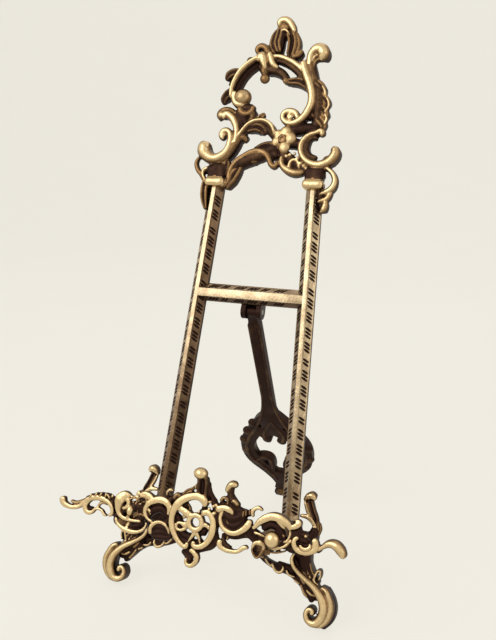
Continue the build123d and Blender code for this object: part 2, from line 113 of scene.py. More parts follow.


# cross sections of the cast scrolls: across, height and how bright the polish has left it
scrollSections = {
    "ridgeLeft": [(-1, -2, 0.05), (-1, 0.15, 0.3), (-0.92, 0.55, 0.75), (-0.72, 0.86, 1), (-0.45, 0.93, 1),
                  (-0.2, 0.72, 0.75), (0.05, 0.38, 0.25), (0.5, 0.12, 0.08), (0.9, 0, 0.12), (1, -0.15, 0.15),
                  (1, -2, 0.05)],
    "hollowLeft": [(-1, -2, 0.05), (-1, 0.1, 0.3), (-0.93, 0.5, 0.75), (-0.74, 0.8, 1), (-0.45, 0.84, 1),
                   (-0.15, 0.6, 0.75), (0.02, 0.1, 0.15), (0.2, -0.5, 0), (0.6, -0.55, 0),
                   (0.88, -0.35, 0.03), (1, -0.45, 0.08), (1, -2, 0.05)],
    "crown": [(-1, -2, 0.05), (-1, -0.05, 0.15), (-0.85, 0.38, 0.5), (-0.5, 0.72, 0.9), (0, 0.86, 1),
              (0.5, 0.72, 0.9), (0.85, 0.38, 0.5), (1, -0.05, 0.15), (1, -2, 0.05)],
    "leaf": [(-1, -2, 0.05), (-1, 0, 0.2), (-0.8, 0.42, 0.8), (-0.5, 0.6, 1), (-0.22, 0.42, 0.45),
             (0, 0.16, 0.02), (0.22, 0.42, 0.45), (0.5, 0.6, 1), (0.8, 0.42, 0.8), (1, 0, 0.2),
             (1, -2, 0.05)],
    "flat": [(-1, -2, 0.03), (-1, -0.1, 0.1), (-0.93, 0.25, 0.7), (-0.72, 0.42, 1), (0, 0.5, 1),
             (0.72, 0.42, 1), (0.93, 0.25, 0.7), (1, -0.1, 0.1), (1, -2, 0.03)],
    "twin": [(-1, -2, 0.05), (-1, 0.2, 0.3), (-0.85, 0.7, 0.9), (-0.6, 0.82, 1), (-0.35, 0.6, 0.5),
             (-0.12, 0.2, 0.05), (0.12, 0.2, 0.05), (0.35, 0.55, 0.5), (0.58, 0.74, 1), (0.82, 0.6, 0.85),
             (1, 0.1, 0.25), (1, -2, 0.05)],
}
sectionCurves = {}
for name, points in scrollSections.items():
    data = bpy.data.curves.new("section" + name, "CURVE")
    line = data.splines.new("POLY")
    line.points.add(len(points) - 1)
    for point, (x, y, wearAndShade) in zip(line.points, points):
        point.co = (x, y, 0, 1)
    line.use_cyclic_u = True
    sectionCurves[name] = bpy.data.objects.new("section" + name, data)
    bpy.context.scene.collection.objects.link(sectionCurves[name])

scrollMake = {"tipReach": 0.55, "tipWidth": 0.4, "steps": 5, "backSlope": 0.02}


# one cast scroll: a curve through the points, its half width at each, swept with a section
def drawScroll(points, section="crown", lift=3.0, back=-3.5, gain=1.0, stout=1.0, root=0.6):
    points = [(x, y, half * stout) for x, y, half in points]
    ends = []
    for tip, near in ((points[0], points[1]), (points[-1], points[-2])):
        run = Vector((tip[0] - near[0], tip[1] - near[1]))
        run.normalize()
        ends.append((tip[0] + run.x * tip[2] * scrollMake["tipReach"],
                     tip[1] + run.y * tip[2] * scrollMake["tipReach"], tip[2] * scrollMake["tipWidth"]))
    points = [ends[0]] + points + [ends[1]]
    data = bpy.data.curves.new("scroll", "CURVE")
    data.dimensions = "3D"
    data.twist_mode = "Z_UP"
    line = data.splines.new("BEZIER")
    line.bezier_points.add(len(points) - 1)
    for knot, (x, y, half) in zip(line.bezier_points, points):
        knot.co = (x, y, lift)
        knot.radius = half
        knot.handle_left_type = knot.handle_right_type = "AUTO"
    data.resolution_u = scrollMake["steps"]
    data.bevel_mode = "OBJECT"
    data.bevel_object = sectionCurves[section]
    data.use_fill_caps = True
    obj = bpy.data.objects.new("scroll", data)
    bpy.context.scene.collection.objects.link(obj)
    pick(obj)
    bpy.ops.object.convert(target="MESH")
    obj = bpy.context.view_layer.objects.active
    tones = [wearAndShade * gain for x, y, wearAndShade in scrollSections[section]]
    paintWearAndShade(obj, lambda vert: tones[vert.index % len(tones)])
    for vert in obj.data.vertices:
        if vert.index % len(tones) in (0, len(tones) - 1):  # the sides go down into the casting
            vert.co.z = min(vert.co.z, root)
        if vert.co.z < back:
            vert.co.z = back + scrollMake["backSlope"] * (vert.co.z - back)
    return obj


# a row of a table: section, lift, points and, where it isn't full, the brightness
def drawRows(rows, **how):
    return [drawScroll(points, section, lift, gain=gain[0] if gain else 1.0, **how)
            for section, lift, points, *gain in rows]


ballMake = {"fine": (28, 16), "plain": (16, 9), "fineFrom": 3, "tone": (0.3, 0.9), "least": 0.03}


# a cast ball or bead, a little flattened towards the front
def drawBall(x, y, radius, lift=3.0, tall=1.0, deep=0.85, gain=1.0, fine=False):
    bpy.ops.object.select_all(action="DESELECT")
    segments, rings = ballMake["fine" if fine else "plain"]
    bpy.ops.mesh.primitive_uv_sphere_add(segments=segments, ring_count=rings, radius=radius,
                                         location=(x, y, lift))
    obj = bpy.context.object
    obj.scale = (1, tall, deep)
    bpy.ops.object.transform_apply(location=True, rotation=False, scale=True)
    base, rise = ballMake["tone"]

    def tone(vert):
        high = (vert.co.z - lift) / (radius * deep)
        return gain * max(ballMake["least"], min(1.0, base + rise * high))

    paintWearAndShade(obj, tone)
    return obj


def drawBalls(balls):
    return [drawBall(x, y, radius, lift, tall, gain=gain, fine=radius > ballMake["fineFrom"])
            for x, y, radius, lift, tall, gain in balls]


def drawRing(x, y, reach, half, steps, section, lift, **how):
    turns = [2 * math.pi * step / steps for step in range(steps + 1)]
    points = [(x + reach * math.cos(turn), y + reach * math.sin(turn), half) for turn in turns]
    return drawScroll(points, section, lift, **how)


def drawBlock(low, high, ease, wearAndShade):
    bpy.ops.object.select_all(action="DESELECT")
    middle = [(a + b) / 2 for a, b in zip(low, high)]
    bpy.ops.mesh.primitive_cube_add(size=1, location=middle)
    obj = bpy.context.object
    obj.scale = [b - a for a, b in zip(low, high)]
    bpy.ops.object.transform_apply(location=True, rotation=False, scale=True)
    editAll(obj, lambda: bpy.ops.mesh.bevel(offset=ease, segments=3, affect="EDGES"))
    paintWearAndShade(obj, lambda vert: wearAndShade)
    return obj


fuseMake = {"crumb": 200, "smooth": 0.5, "times": 2, "nearest": 0.00001, "backFrom": -0.35, "backTone": 0.5}


# crumbs are the tiny closed pockets that the fusing leaves inside a casting
def dropCrumbs(obj):
    mesh = obj.data
    group = list(range(len(mesh.vertices)))

    def root(spot):
        while group[spot] != spot:
            group[spot] = group[group[spot]]
            spot = group[spot]
        return spot

    for edge in mesh.edges:
        group[root(edge.vertices[0])] = root(edge.vertices[1])
    count = {}
    for spot in range(len(group)):
        count[root(spot)] = count.get(root(spot), 0) + 1
    pick(obj)
    bpy.ops.object.mode_set(mode="EDIT")
    bpy.ops.mesh.select_mode(type="VERT")
    bpy.ops.mesh.select_all(action="DESELECT")
    bpy.ops.object.mode_set(mode="OBJECT")
    for vert in mesh.vertices:
        vert.select = count[root(vert.index)] < fuseMake["crumb"]
    bpy.ops.object.mode_set(mode="EDIT")
    bpy.ops.mesh.delete(type="VERT")
    bpy.ops.object.mode_set(mode="OBJECT")


# the strokes run into each other as one casting, and keep the wear and painted shade of the nearest stroke
def fuseCasting(obj, grain):
    front = leaningPlane().to_3x3().col[2].normalized()
    old = obj.data.copy()
    tones = [point.value for point in old.attributes["wearAndShade"].data]
    tree = surfaceTree(old)
    applyModifier(obj, "REMESH", mode="VOXEL", voxel_size=grain, use_smooth_shade=True)
    dropCrumbs(obj)
    applyModifier(obj, "SMOOTH", factor=fuseMake["smooth"], iterations=fuseMake["times"])

    def tone(vert):
        if vert.normal.dot(front) < fuseMake["backFrom"]:
            return fuseMake["backTone"]
        spot, normal, index, far = tree.find_nearest(vert.co)
        total = weight = 0.0
        for corner in old.polygons[index].vertices:
            near = 1.0 / ((old.vertices[corner].co - spot).length + fuseMake["nearest"])
            total, weight = total + near * tones[corner], weight + near
        return total / weight

    paintWearAndShade(obj, tone)
    bpy.data.meshes.remove(old)


joinMake = {"fusedAngle": 70, "plainAngle": 48}


def joinCasting(name, parts, place, grain=0.0):
    pick(*parts)
    bpy.ops.object.join()
    obj = bpy.context.view_layer.objects.active
    obj.name = name
    obj.data.name = name
    obj.data.transform(place)
    editAll(obj, lambda: bpy.ops.mesh.remove_doubles(threshold=weldGap))
    if grain:
        fuseCasting(obj, grain)
    pick(obj)
    angle = joinMake["fusedAngle" if grain else "plainAngle"]
    bpy.ops.object.shade_smooth_by_angle(angle=math.radians(angle))
    return obj


hollowMake = {"reach": 0.006, "depth": 0.85, "rings": ((0.25, 4), (0.6, 6), (0.88, 6)),
              "start": 0.00015, "farLoss": 0.6, "strength": 1.5}


# dark patina sits in the hollows, and painted shade is laid where the casting shades itself, so the bright
# tone is held back in the hollows
def ageAndShadeHollows(obj):
    mesh = obj.data
    tree = surfaceTree(mesh)
    reach = hollowMake["reach"]
    fan = []
    for ring, count in hollowMake["rings"]:
        for step in range(count):
            turn = 2 * math.pi * (step + ring) / count
            fan.append(Vector((ring * math.cos(turn), ring * math.sin(turn), math.sqrt(1 - ring * ring))))
    wear = mesh.attributes["wearAndShade"].data
    for vert in mesh.vertices:
        lean = vert.normal.to_track_quat("Z", "Y")
        start = vert.co + vert.normal * hollowMake["start"]
        shaded = 0.0
        for ray in fan:
            spot, face, index, far = tree.ray_cast(start, lean @ ray, reach)
            if spot is not None:
                shaded += 1.0 - hollowMake["farLoss"] * far / reach
        loss = hollowMake["depth"] * shaded / len(fan) * hollowMake["strength"]
        wear[vert.index].value *= max(0.0, 1.0 - loss)


def copyNode(node, name):
    obj = bpy.data.objects.new(name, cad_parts[node].data.copy())
    bpy.context.scene.collection.objects.link(obj)
    obj.data.name = name
    editAll(obj, lambda: bpy.ops.mesh.remove_doubles(threshold=weldGap),
            lambda: bpy.ops.mesh.dissolve_limited(angle_limit=math.radians(0.5)))
    return obj


def dressIn(obj, brass):
    obj.data.materials.clear()
    obj.data.materials.append(brass)
    for face in obj.data.polygons:
        face.material_index = 0


def settle(obj, body, node):
    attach(obj, body)
    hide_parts(node)


# materials

patinaMake = {
    "hollow": (0.026, 0.0092, 0.005, 1), "middle": (0.235, 0.135, 0.058, 1), "bright": (0.73, 0.55, 0.3, 1),
    "blotch": (0.44, -0.22), "grain": (0.2, -0.1),  # how far the noise moves the wear up and down
    "lowFrom": (0.1, 0.52), "highFrom": (0.54, 1.08),
    "rough": (0.52, 0.27), "metal": (0.82, 1.0), "grainHeight": 0.35, "reliefDeep": 0.0006,
}


def socket(group, name, kind, way, value=None):
    made = group.interface.new_socket(name=name, in_out=way, socket_type=kind)
    if value is not None:
        made.default_value = value


# patina shared by the castings: dark brown in the hollows, cream gold where hands and cloths rub; painted
# shade in the input takes the same dark colours
patina = bpy.data.node_groups.new("castPatina", "ShaderNodeTree")
socket(patina, "Wear And Shade", "NodeSocketFloat", "INPUT", 0.5)
socket(patina, "Hollow Color", "NodeSocketColor", "INPUT", patinaMake["hollow"])
socket(patina, "Middle Color", "NodeSocketColor", "INPUT", patinaMake["middle"])
socket(patina, "Bright Color", "NodeSocketColor", "INPUT", patinaMake["bright"])
socket(patina, "Color", "NodeSocketColor", "OUTPUT")
socket(patina, "Roughness", "NodeSocketFloat", "OUTPUT")
socket(patina, "Metallic", "NodeSocketFloat", "OUTPUT")
socket(patina, "Height", "NodeSocketFloat", "OUTPUT")
nodes, links = patina.nodes, patina.links


def addNode(kind, **values):
    node = nodes.new(kind)
    for key, value in values.items():
        if key in node.inputs:
            node.inputs[key].default_value = value
        else:
            setattr(node, key, value)
    return node


def addRange(source, lowKey, highKey, pair, **values):
    node = addNode("ShaderNodeMapRange", **values)
    node.inputs[lowKey].default_value, node.inputs[highKey].default_value = pair
    links.new(source, node.inputs["Value"])
    return node.outputs["Result"]


def addShift(source, pair):
    node = addNode("ShaderNodeMath", operation="MULTIPLY_ADD")
    node.inputs[1].default_value, node.inputs[2].default_value = pair
    links.new(source, node.inputs[0])
    return node.outputs[0]


def addSum(one, two, clamp=False):
    node = addNode("ShaderNodeMath", operation="ADD", use_clamp=clamp)
    links.new(one, node.inputs[0])
    links.new(two, node.inputs[1])
    return node.outputs[0]


def addBlend(factor, one, two):
    node = addNode("ShaderNodeMix", data_type="RGBA")
    links.new(factor, node.inputs["Factor"])
    links.new(one, node.inputs[6])
    links.new(two, node.inputs[7])
    return node.outputs[2]


given = addNode("NodeGroupInput")
place = addNode("ShaderNodeTexCoord")
blotch = addNode("ShaderNodeTexNoise", Scale=95.0, Detail=5.0, Roughness=0.62)
grain = addNode("ShaderNodeTexNoise", Scale=900.0, Detail=3.0, Roughness=0.6)
pits = addNode("ShaderNodeTexVoronoi", Scale=520.0)
for texture in (blotch, grain, pits):
    links.new(place.outputs["Object"], texture.inputs["Vector"])
blotched = addSum(given.outputs["Wear And Shade"], addShift(blotch.outputs["Fac"], patinaMake["blotch"]))
wearShadeAndGrain = addSum(blotched, addShift(grain.outputs["Fac"], patinaMake["grain"]), clamp=True)
lowMask = addRange(wearShadeAndGrain, "From Min", "From Max", patinaMake["lowFrom"], interpolation_type="SMOOTHSTEP")
highMask = addRange(wearShadeAndGrain, "From Min", "From Max", patinaMake["highFrom"], interpolation_type="SMOOTHSTEP")
brown = addBlend(lowMask, given.outputs["Hollow Color"], given.outputs["Middle Color"])
tint = addBlend(highMask, brown, given.outputs["Bright Color"])
cast = addNode("ShaderNodeMath", operation="MULTIPLY_ADD")
cast.inputs[1].default_value = patinaMake["grainHeight"]
links.new(grain.outputs["Fac"], cast.inputs[0])
links.new(pits.outputs["Distance"], cast.inputs[2])
result = addNode("NodeGroupOutput")
links.new(tint, result.inputs["Color"])
links.new(addRange(wearShadeAndGrain, "To Min", "To Max", patinaMake["rough"]), result.inputs["Roughness"])
links.new(addRange(lowMask, "To Min", "To Max", patinaMake["metal"]), result.inputs["Metallic"])
links.new(cast.outputs[0], result.inputs["Height"])


# the wear comes from the piece's own attribute, or is one value; the floor shade darkens it towards the
# floor, painted shade and a painted dark reflection low on the bar
def makeBrass(name, wearAndShade=None, bump=0.12, colors=None, floorShade=None):
    material = bpy.data.materials.new(name)
    material.use_nodes = True
    tree = material.node_tree
    shader = tree.nodes["Principled BSDF"]
    aged = tree.nodes.new("ShaderNodeGroup")
    aged.node_tree = patina
    for key, value in (colors or {}).items():
        aged.inputs[key].default_value = value
    if wearAndShade is None:
        source = tree.nodes.new("ShaderNodeAttribute")
        source.attribute_name = "wearAndShade"
        amount = source.outputs["Fac"]
        if floorShade:
            spot = tree.nodes.new("ShaderNodeTexCoord")
            axes = tree.nodes.new("ShaderNodeSeparateXYZ")
            tree.links.new(spot.outputs["Object"], axes.inputs["Vector"])
            drop = tree.nodes.new("ShaderNodeMapRange")
            for key, value in zip(("From Min", "From Max", "To Min"), floorShade):
                drop.inputs[key].default_value = value
            tree.links.new(axes.outputs["Z"], drop.inputs["Value"])
            less = tree.nodes.new("ShaderNodeMath")
            less.operation = "MULTIPLY"
            tree.links.new(amount, less.inputs[0])
            tree.links.new(drop.outputs["Result"], less.inputs[1])
            amount = less.outputs[0]
        tree.links.new(amount, aged.inputs["Wear And Shade"])
    else:
        aged.inputs["Wear And Shade"].default_value = wearAndShade
    relief = tree.nodes.new("ShaderNodeBump")
    relief.inputs["Strength"].default_value = bump
    relief.inputs["Distance"].default_value = patinaMake["reliefDeep"]
    tree.links.new(aged.outputs["Height"], relief.inputs["Height"])
    tree.links.new(aged.outputs["Color"], shader.inputs["Base Color"])
    tree.links.new(aged.outputs["Roughness"], shader.inputs["Roughness"])
    tree.links.new(aged.outputs["Metallic"], shader.inputs["Metallic"])
    tree.links.new(relief.outputs["Normal"], shader.inputs["Normal"])
    return material


castBrass = makeBrass("castBrass")
railBright = (0.72, 0.58, 0.37, 1)
# both rail brasses are painted darker towards the floor as shade and reflection; the right rail's copy
# darkens less, painted as the more lit rail
railBrass = makeBrass("railBrass", floorShade=(0.08, 0.25, 0.64),
                      colors={"Middle Color": (0.2, 0.125, 0.07, 1), "Bright Color": railBright})
brightRailBrass = makeBrass("brightRailBrass", floorShade=(0.08, 0.25, 0.9),
                            colors={"Middle Color": (0.21, 0.13, 0.072, 1), "Bright Color": railBright})
screwBrass = makeBrass("screwBrass", 0.45, bump=0.05)
pinSteel = makeBrass("pinSteel", 0.6, bump=0.05,
                     colors={"Hollow Color": (0.05, 0.045, 0.04, 1), "Middle Color": (0.3, 0.29, 0.27, 1),
                             "Bright Color": (0.6, 0.58, 0.54, 1)})
print("materials made")

# crest: strokes picked on the photograph and carried to the plane of the rails, as x, y, half width

crestMake = {
    "grain": 0.00065,
    "stout": 1.25,
    "scrolls": [
        ("crown", 1.6, [(12, 371, 3.4), (20, 372.5, 3.6), (28, 373.5, 3.6), (35, 373, 3)], 0.16),
        ("crown", 1.6, [(14, 362, 3.6), (21, 361, 3.4), (26, 358, 2.4)], 0.14),
        ("crown", 1.6, [(12, 352, 3.4), (18, 347, 3.4), (25, 342, 3.2), (33, 339, 3)], 0.14),
        ("crown", 1.8, [(-33, 339, 3.2), (-25, 344, 4), (-16, 348, 4.2), (-6, 352, 4), (4, 357, 4)], 0.2),
        ("crown", 1.6, [(-8, 376, 2.6), (0, 369, 3), (5, 364, 3)], 0.2),
        ("crown", 1.6, [(-33, 384, 3), (-26, 380, 3.2), (-22, 374, 3)], 0.12),
        ("crown", 1.6, [(-32, 400, 3), (-30, 392, 3.4), (-27, 386, 3)], 0.12),
        ("hollowLeft", 4.2, [(-37.4, 398.9, 2.8), (-37.0, 405.8, 3.3), (-34.7, 413.2, 3.5),
            (-30.3, 420.6, 3.6), (-24.8, 425.7, 3.5), (-18.6, 429.5, 3.4)]),
        ("crown", 4.6, [(-36.1, 402.4, 2.1), (-36.3, 397.5, 2.1), (-33.3, 393.1, 2.4),
            (-28.3, 392.2, 2.6)]),
        ("crown", 5.2, [(-18.9, 429.5, 2.8), (-16.3, 431.9, 3.7), (-14.4, 427.7, 3.1),
            (-12.7, 423.1, 1.8)]),
        ("crown", 5.4, [(-10.2, 434.3, 2.1), (-8.5, 430.2, 2.5), (-6.3, 425.6, 2.4), (-2.4, 422.7, 1.4)]),
        ("crown", 5.0, [(-6.9, 432.3, 1.3), (-0.5, 431.5, 1.7), (6.1, 429.1, 1.8), (12.8, 425.3, 1.9),
            (18.6, 420.4, 1.9), (23.1, 414.1, 1.5)]),
        ("crown", 3.0, [(-5.1, 429.8, 1.7), (3.7, 426.8, 1.8), (12, 421.7, 1.9), (18.3, 415.4, 2.1)], 0.26),
        ("crown", 4.6, [(18.9, 426.5, 2.6), (20.4, 421.5, 2.9), (23.4, 414.6, 3.1), (26.7, 407.1, 2.9),
            (28.8, 399.9, 2.6), (29, 392.8, 2.6), (27.1, 386.7, 2.7), (23.7, 381.3, 2.6),
            (18.9, 377.8, 2.3), (13.5, 376.7, 1.9), (8.9, 378.7, 1.8), (7, 382.7, 1.8), (8.8, 385.7, 1.9),
            (13, 386.6, 2.2), (17.5, 384.8, 2.2), (19.5, 381.4, 1.8)]),
        ("crown", 5.4, [(13.5, 384.4, 1.2), (12.1, 382, 1.4), (13.7, 379.7, 1.4)], 0.9),
        ("crown", 1.4, [(26, 419.4, 2.1), (29, 408.4, 2.3), (31.3, 398.1, 2.4), (31.2, 390, 2.6),
            (28.1, 381.8, 2.4)], 0.09),
        ("crown", 2.4, [(-17.8, 424.8, 2.7), (-10.7, 422.2, 3), (-3.4, 421, 3.1), (2.6, 417.7, 2.8),
            (6.6, 412.4, 2.4)], 0.22),
        ("crown", 3.4, [(-13.9, 422.2, 2.7), (-13.3, 418.6, 2.4)], 0.41),
        ("leaf", 3.0, [(6.5, 411.5, 1.9), (11.2, 411.7, 2.5), (16.8, 411.3, 2.9), (22.2, 408.5, 2.7),
            (25.8, 404.3, 1.8)], 0.45),
        ("leaf", 2.4, [(-6.3, 436.8, 2.4), (-9.5, 443.2, 2.4), (-8.8, 450, 2.3), (-7.4, 455.1, 1.1)], 0.56),
        ("leaf", 3.2, [(-3.3, 437.3, 2.1), (-5.6, 444.4, 2.5), (-4.7, 451.4, 2.5), (-4.5, 457.7, 2)], 0.56),
        ("crown", 1.2, [(-2.7, 435.8, 1.8), (-2.2, 442.4, 2), (-1.7, 449.4, 2.1), (0.3, 453.9, 2.3)], 0.06),
        ("crown", 5.0, [(-5.1, 458.4, 1.7), (-4.5, 460.9, 2.3), (-1.4, 462.4, 2.5), (2.5, 461, 2.5),
            (5.9, 457, 2.4), (8.5, 452.6, 1.5)]),
        ("crown", 3.4, [(-4.4, 456.9, 1.8), (-1.3, 457.5, 2.1), (1.7, 455.2, 1.8)], 0.45),
        ("crown", 4.6, [(-2.6, 453.7, 0.8), (-0.3, 454.3, 1.1), (2.5, 452.8, 1), (4.2, 449.7, 0.7)], 0.9),
        ("twin", 3.0, [(6.7, 434.3, 2.8), (7.5, 440.6, 3.2), (6.9, 446.8, 3.2), (4.5, 451.8, 2.8)], 0.52),
        ("leaf", 3.2, [(10.4, 434.7, 2.4), (11.5, 440, 2.5), (10.9, 445.9, 2.5), (8.8, 451.2, 2)], 0.56),
        ("crown", 2.8, [(9.3, 432.3, 2.1), (13.4, 432.8, 2.2), (15.7, 436.2, 2.1)], 0.41),
        ("crown", 3.4, [(-12.1, 436.1, 2.7), (-15.2, 440.3, 2.3), (-19.1, 441.4, 2.3), (-21.7, 439.1, 2),
            (-21, 436, 1.3)], 0.56),
        ("crown", 3.0, [(29.3, 411.8, 3.1), (26.6, 419.3, 3.3), (24.6, 426.2, 3)], 0.34),
        ("crown", 4.2, [(24.3, 425, 2.1), (23.7, 429.8, 2.3), (25.3, 434.9, 2.8), (28.8, 437.6, 3.5),
            (32.8, 436.4, 4.4), (34.4, 432.8, 4.2), (33.6, 429.6, 2.8)]),
        ("crown", 4.6, [(25.5, 421.4, 0.8), (26.1, 426.8, 1), (28.1, 431.2, 1.2), (31.6, 432.3, 1.2),
            (34.2, 430.9, 0.8)], 0.8),
        ("crown", 4.8, [(27.6, 421.3, 0.7), (28.1, 425.7, 0.9), (30.3, 428.4, 1),
            (33.2, 428.3, 0.8)], 0.52),
        ("leaf", 2.2, [(-33.6, 420, 2.4), (-39.4, 420.3, 3.2), (-43.9, 418, 3.2),
            (-45.9, 414.7, 1.6)], 0.38),
        ("leaf", 2.2, [(-38.7, 405.2, 2.9), (-42.8, 401.7, 3.5), (-45.6, 397.5, 2.9),
            (-45.6, 393.9, 1.3)], 0.34),
        ("crown", 1.8, [(-38.9, 412.8, 2.5), (-42.2, 410, 1.7)], 0.22),
        ("crown", 2.6, [(-23.7, 429.1, 2.1), (-27.1, 430.2, 2.4), (-28.7, 427.8, 1.4)], 0.38),
        ("crown", 1.2, [(31.2, 409.8, 2.5), (33.8, 401.6, 4.1), (35.2, 392.7, 4.5), (35.3, 383.3, 4.1),
            (34.5, 375.8, 3.1)], 0.22),
        ("leaf", 2.6, [(29.2, 412, 1.6), (33.4, 409.2, 2.6), (36.9, 404.7, 2.6), (39, 399.9, 1.3)], 0.56),
        ("leaf", 2.8, [(32.3, 402.3, 2), (37.3, 398.5, 3), (41.2, 394.1, 2.7), (41.4, 389, 1.5)], 0.56),
        ("leaf", 2.8, [(32.9, 392.8, 2.2), (37.7, 389.1, 3.1), (41.1, 384.3, 2.7),
            (41.4, 379.6, 1.5)], 0.56),
        ("leaf", 2.8, [(32.2, 384.7, 2.2), (36.7, 380.6, 3.1), (40.2, 376.3, 2.7),
            (41.1, 372.2, 1.5)], 0.56),
        ("crown", 4.2, [(36.5, 407.1, 0.7), (38.9, 403.3, 0.9), (40.2, 399.3, 0.6)], 0.95),
        ("crown", 4.2, [(41, 397.9, 0.8), (43.2, 393.5, 1), (43.1, 389.5, 0.9), (41, 386.1, 0.7)], 0.95),
        ("crown", 4.2, [(41.3, 384.1, 0.7), (43, 380.4, 0.9), (41.7, 376.1, 0.8)], 0.95),
        ("crown", 3.8, [(-31.6, 390.4, 1.4), (-29.1, 386.5, 1.8), (-24.5, 384.7, 1.8), (-20.3, 386.6, 1.7),
            (-18.6, 390.7, 1.4)], 0.52),
        ("crown", 2.2, [(-31.2, 391.4, 3.1), (-25.2, 389.9, 3.6), (-20.2, 389.9, 2.8)], 0.19),
        ("crown", 1.8, [(-31.2, 387.2, 3.4), (-30, 380.3, 2.6), (-28.5, 373.5, 2.3),
            (-29, 368.1, 2.3)], 0.15),
        ("crown", 1.8, [(-19.7, 387.2, 2.6), (-19.1, 382.6, 2.6), (-20.9, 378, 2.3),
            (-23.3, 372.7, 1.9)], 0.3),
        ("crown", 2.8, [(-45.9, 381.1, 1.9), (-47.8, 384.6, 2.2), (-45.2, 387.8, 2.2), (-39.3, 388.2, 2),
            (-33.7, 384.9, 1.7)], 0.45),
        ("crown", 4.4, [(-42.9, 381.6, 2), (-42, 384.1, 2.5), (-37.3, 382.5, 2.6), (-33.3, 377.8, 2.5),
            (-30.9, 371.7, 2.2), (-30.5, 365.7, 1.9), (-31.2, 360.4, 1.4)]),
        ("crown", 4.2, [(-41.7, 364, 1.9), (-43, 367, 2.4), (-41.2, 370.3, 2.3), (-37.5, 369.9, 2),
            (-35.4, 365.7, 2.2), (-35.5, 360, 2.3), (-37.1, 354.1, 2.6), (-41.5, 349.4, 3),
            (-47.5, 347.3, 3.3), (-53.2, 349.4, 4), (-56.6, 353.4, 5), (-56.4, 357, 4.8),
            (-54.6, 358.6, 3.2)]),
        ("crown", 2.6, [(-40.1, 346.4, 3), (-34.6, 353, 3.4), (-30.8, 359.5, 3.2),
            (-28, 365.6, 2.5)], 0.38),
        ("ridgeLeft", 4.0, [(-32.6, 359, 1.4), (-27.8, 365.1, 1.8), (-23.9, 371, 2.2), (-18.9, 375.6, 2.5),
            (-12.9, 377.5, 2.6), (-6.8, 376.5, 2.9), (-2.2, 372.9, 3), (0.2, 368.7, 2.3)]),
        ("leaf", 2.8, [(-21.3, 371.6, 2), (-15.9, 373.6, 3.1), (-9.9, 372.3, 3.4),
            (-6.5, 368.8, 1.5)], 0.38),
        ("crown", 2.4, [(-28.1, 365.3, 1.7), (-24.1, 365.1, 2.8), (-21.6, 362.5, 1.5)], 0.38),
        ("leaf", 3.0, [(-15.4, 379.3, 1.8), (-11.9, 382.3, 2.3), (-9.3, 384.8, 1.4)], 0.8),
        ("crown", 4.2, [(-33.3, 331, 1.4), (-32, 337.8, 1.5), (-28.2, 344.9, 1.7), (-21.8, 349.7, 1.8),
            (-14.5, 353.3, 2), (-8.6, 353.8, 2.1), (-3.2, 351.3, 2.1), (0.3, 346.7, 1.9), (2.4, 342.8, 1.9),
            (5.5, 341.7, 1.6), (6.8, 345.6, 1.2)], 0.62),
        ("leaf", 2.6, [(-30.4, 339, 2.3), (-24.9, 345.8, 3.5), (-17.6, 347.6, 4),
            (-11.3, 346.7, 2.6)], 0.38),
        ("leaf", 2.4, [(-13.4, 355.4, 2), (-7.5, 357.3, 3.3), (-1.1, 357.9, 3.9), (4.3, 354.7, 3.5)], 0.34),
        ("crown", 2.0, [(-6.5, 351, 2.3), (-0.8, 351.8, 3), (5.7, 351.2, 3)], 0.22),
        ("leaf", 2.8, [(-24.5, 341, 2.1), (-27.1, 336.1, 3.2), (-30.5, 329.9, 3.7),
            (-34, 323.8, 2.3)], 0.49),
        ("crown", 4.0, [(-34.2, 325, 0.9), (-32.5, 328.8, 1.5), (-31.7, 332.6, 1.7),
            (-33.4, 335.5, 0.9)], 0.52),
        ("crown", 3.4, [(9.5, 348.6, 1.5), (10.9, 343.4, 2.1), (15.6, 339.3, 2.5), (21.8, 337.1, 2.5),
            (28.2, 337.2, 1.9)], 0.8),
        ("crown", 4.4, [(17.2, 341, 1), (17.6, 344.7, 1.2), (20.9, 347.3, 1.2), (24.6, 344.9, 1.2),
            (25.5, 340.9, 1)], 0.9),
        ("crown", 2.0, [(9.4, 352, 3), (16.5, 349.1, 3), (26.5, 340.5, 2.6), (35, 337.8, 2.9)], 0.22),
        ("crown", 4.2, [(40.9, 367.5, 1.9), (40.2, 370.7, 2), (36, 369.3, 1.6), (30.9, 367.7, 1.6),
            (26.5, 363.8, 1.8), (24.6, 358.5, 1.8), (25.8, 352.6, 1.9), (29.3, 347.8, 2.2),
            (34.9, 344.5, 2.5), (40.8, 343.6, 2.8), (47, 345.4, 3), (51.3, 349, 3.3), (53.1, 353.4, 3.3),
            (52.1, 356.8, 2.6)], 0.9),
        ("crown", 2.4, [(36.9, 365.4, 1.3), (31.7, 365.5, 1.9), (29, 361.3, 2.2), (29.1, 355.7, 2.2),
            (32.4, 351.1, 2.1), (37.6, 349.4, 1.7)], 0.22),
        ("crown", 3.8, [(32.2, 364.6, 0.5), (29.1, 361.2, 0.6), (29, 356.1, 0.6),
            (31.5, 351.7, 0.5)], 0.45),
        ("leaf", 4.2, [(44.1, 346.3, 1.2), (46, 349, 1.3), (47.5, 350.6, 0.6)], 0.8),
        ("crown", 3.6, [(45.6, 342.1, 1.2), (50.6, 339.3, 1.6), (54.4, 334.4, 1.9), (55, 329.2, 2.1),
            (52.8, 324.8, 2.3), (48.8, 322.3, 2), (45.1, 321, 1)], 0.95),
        ("crown", 3.4, [(52.8, 322, 1.7), (50.4, 317.3, 1.9), (46.8, 315.7, 1.6),
            (43.8, 314.6, 0.9)], 0.85),
        ("crown", 3.2, [(49.5, 315.5, 1.6), (49.6, 312, 2.1), (48.6, 308.6, 2.3), (46.7, 306.4, 1)], 0.85),
        ("crown", 1.2, [(43, 323.8, 2.2), (45.2, 317.4, 2.5), (46, 310.9, 1.9)], 0.19),
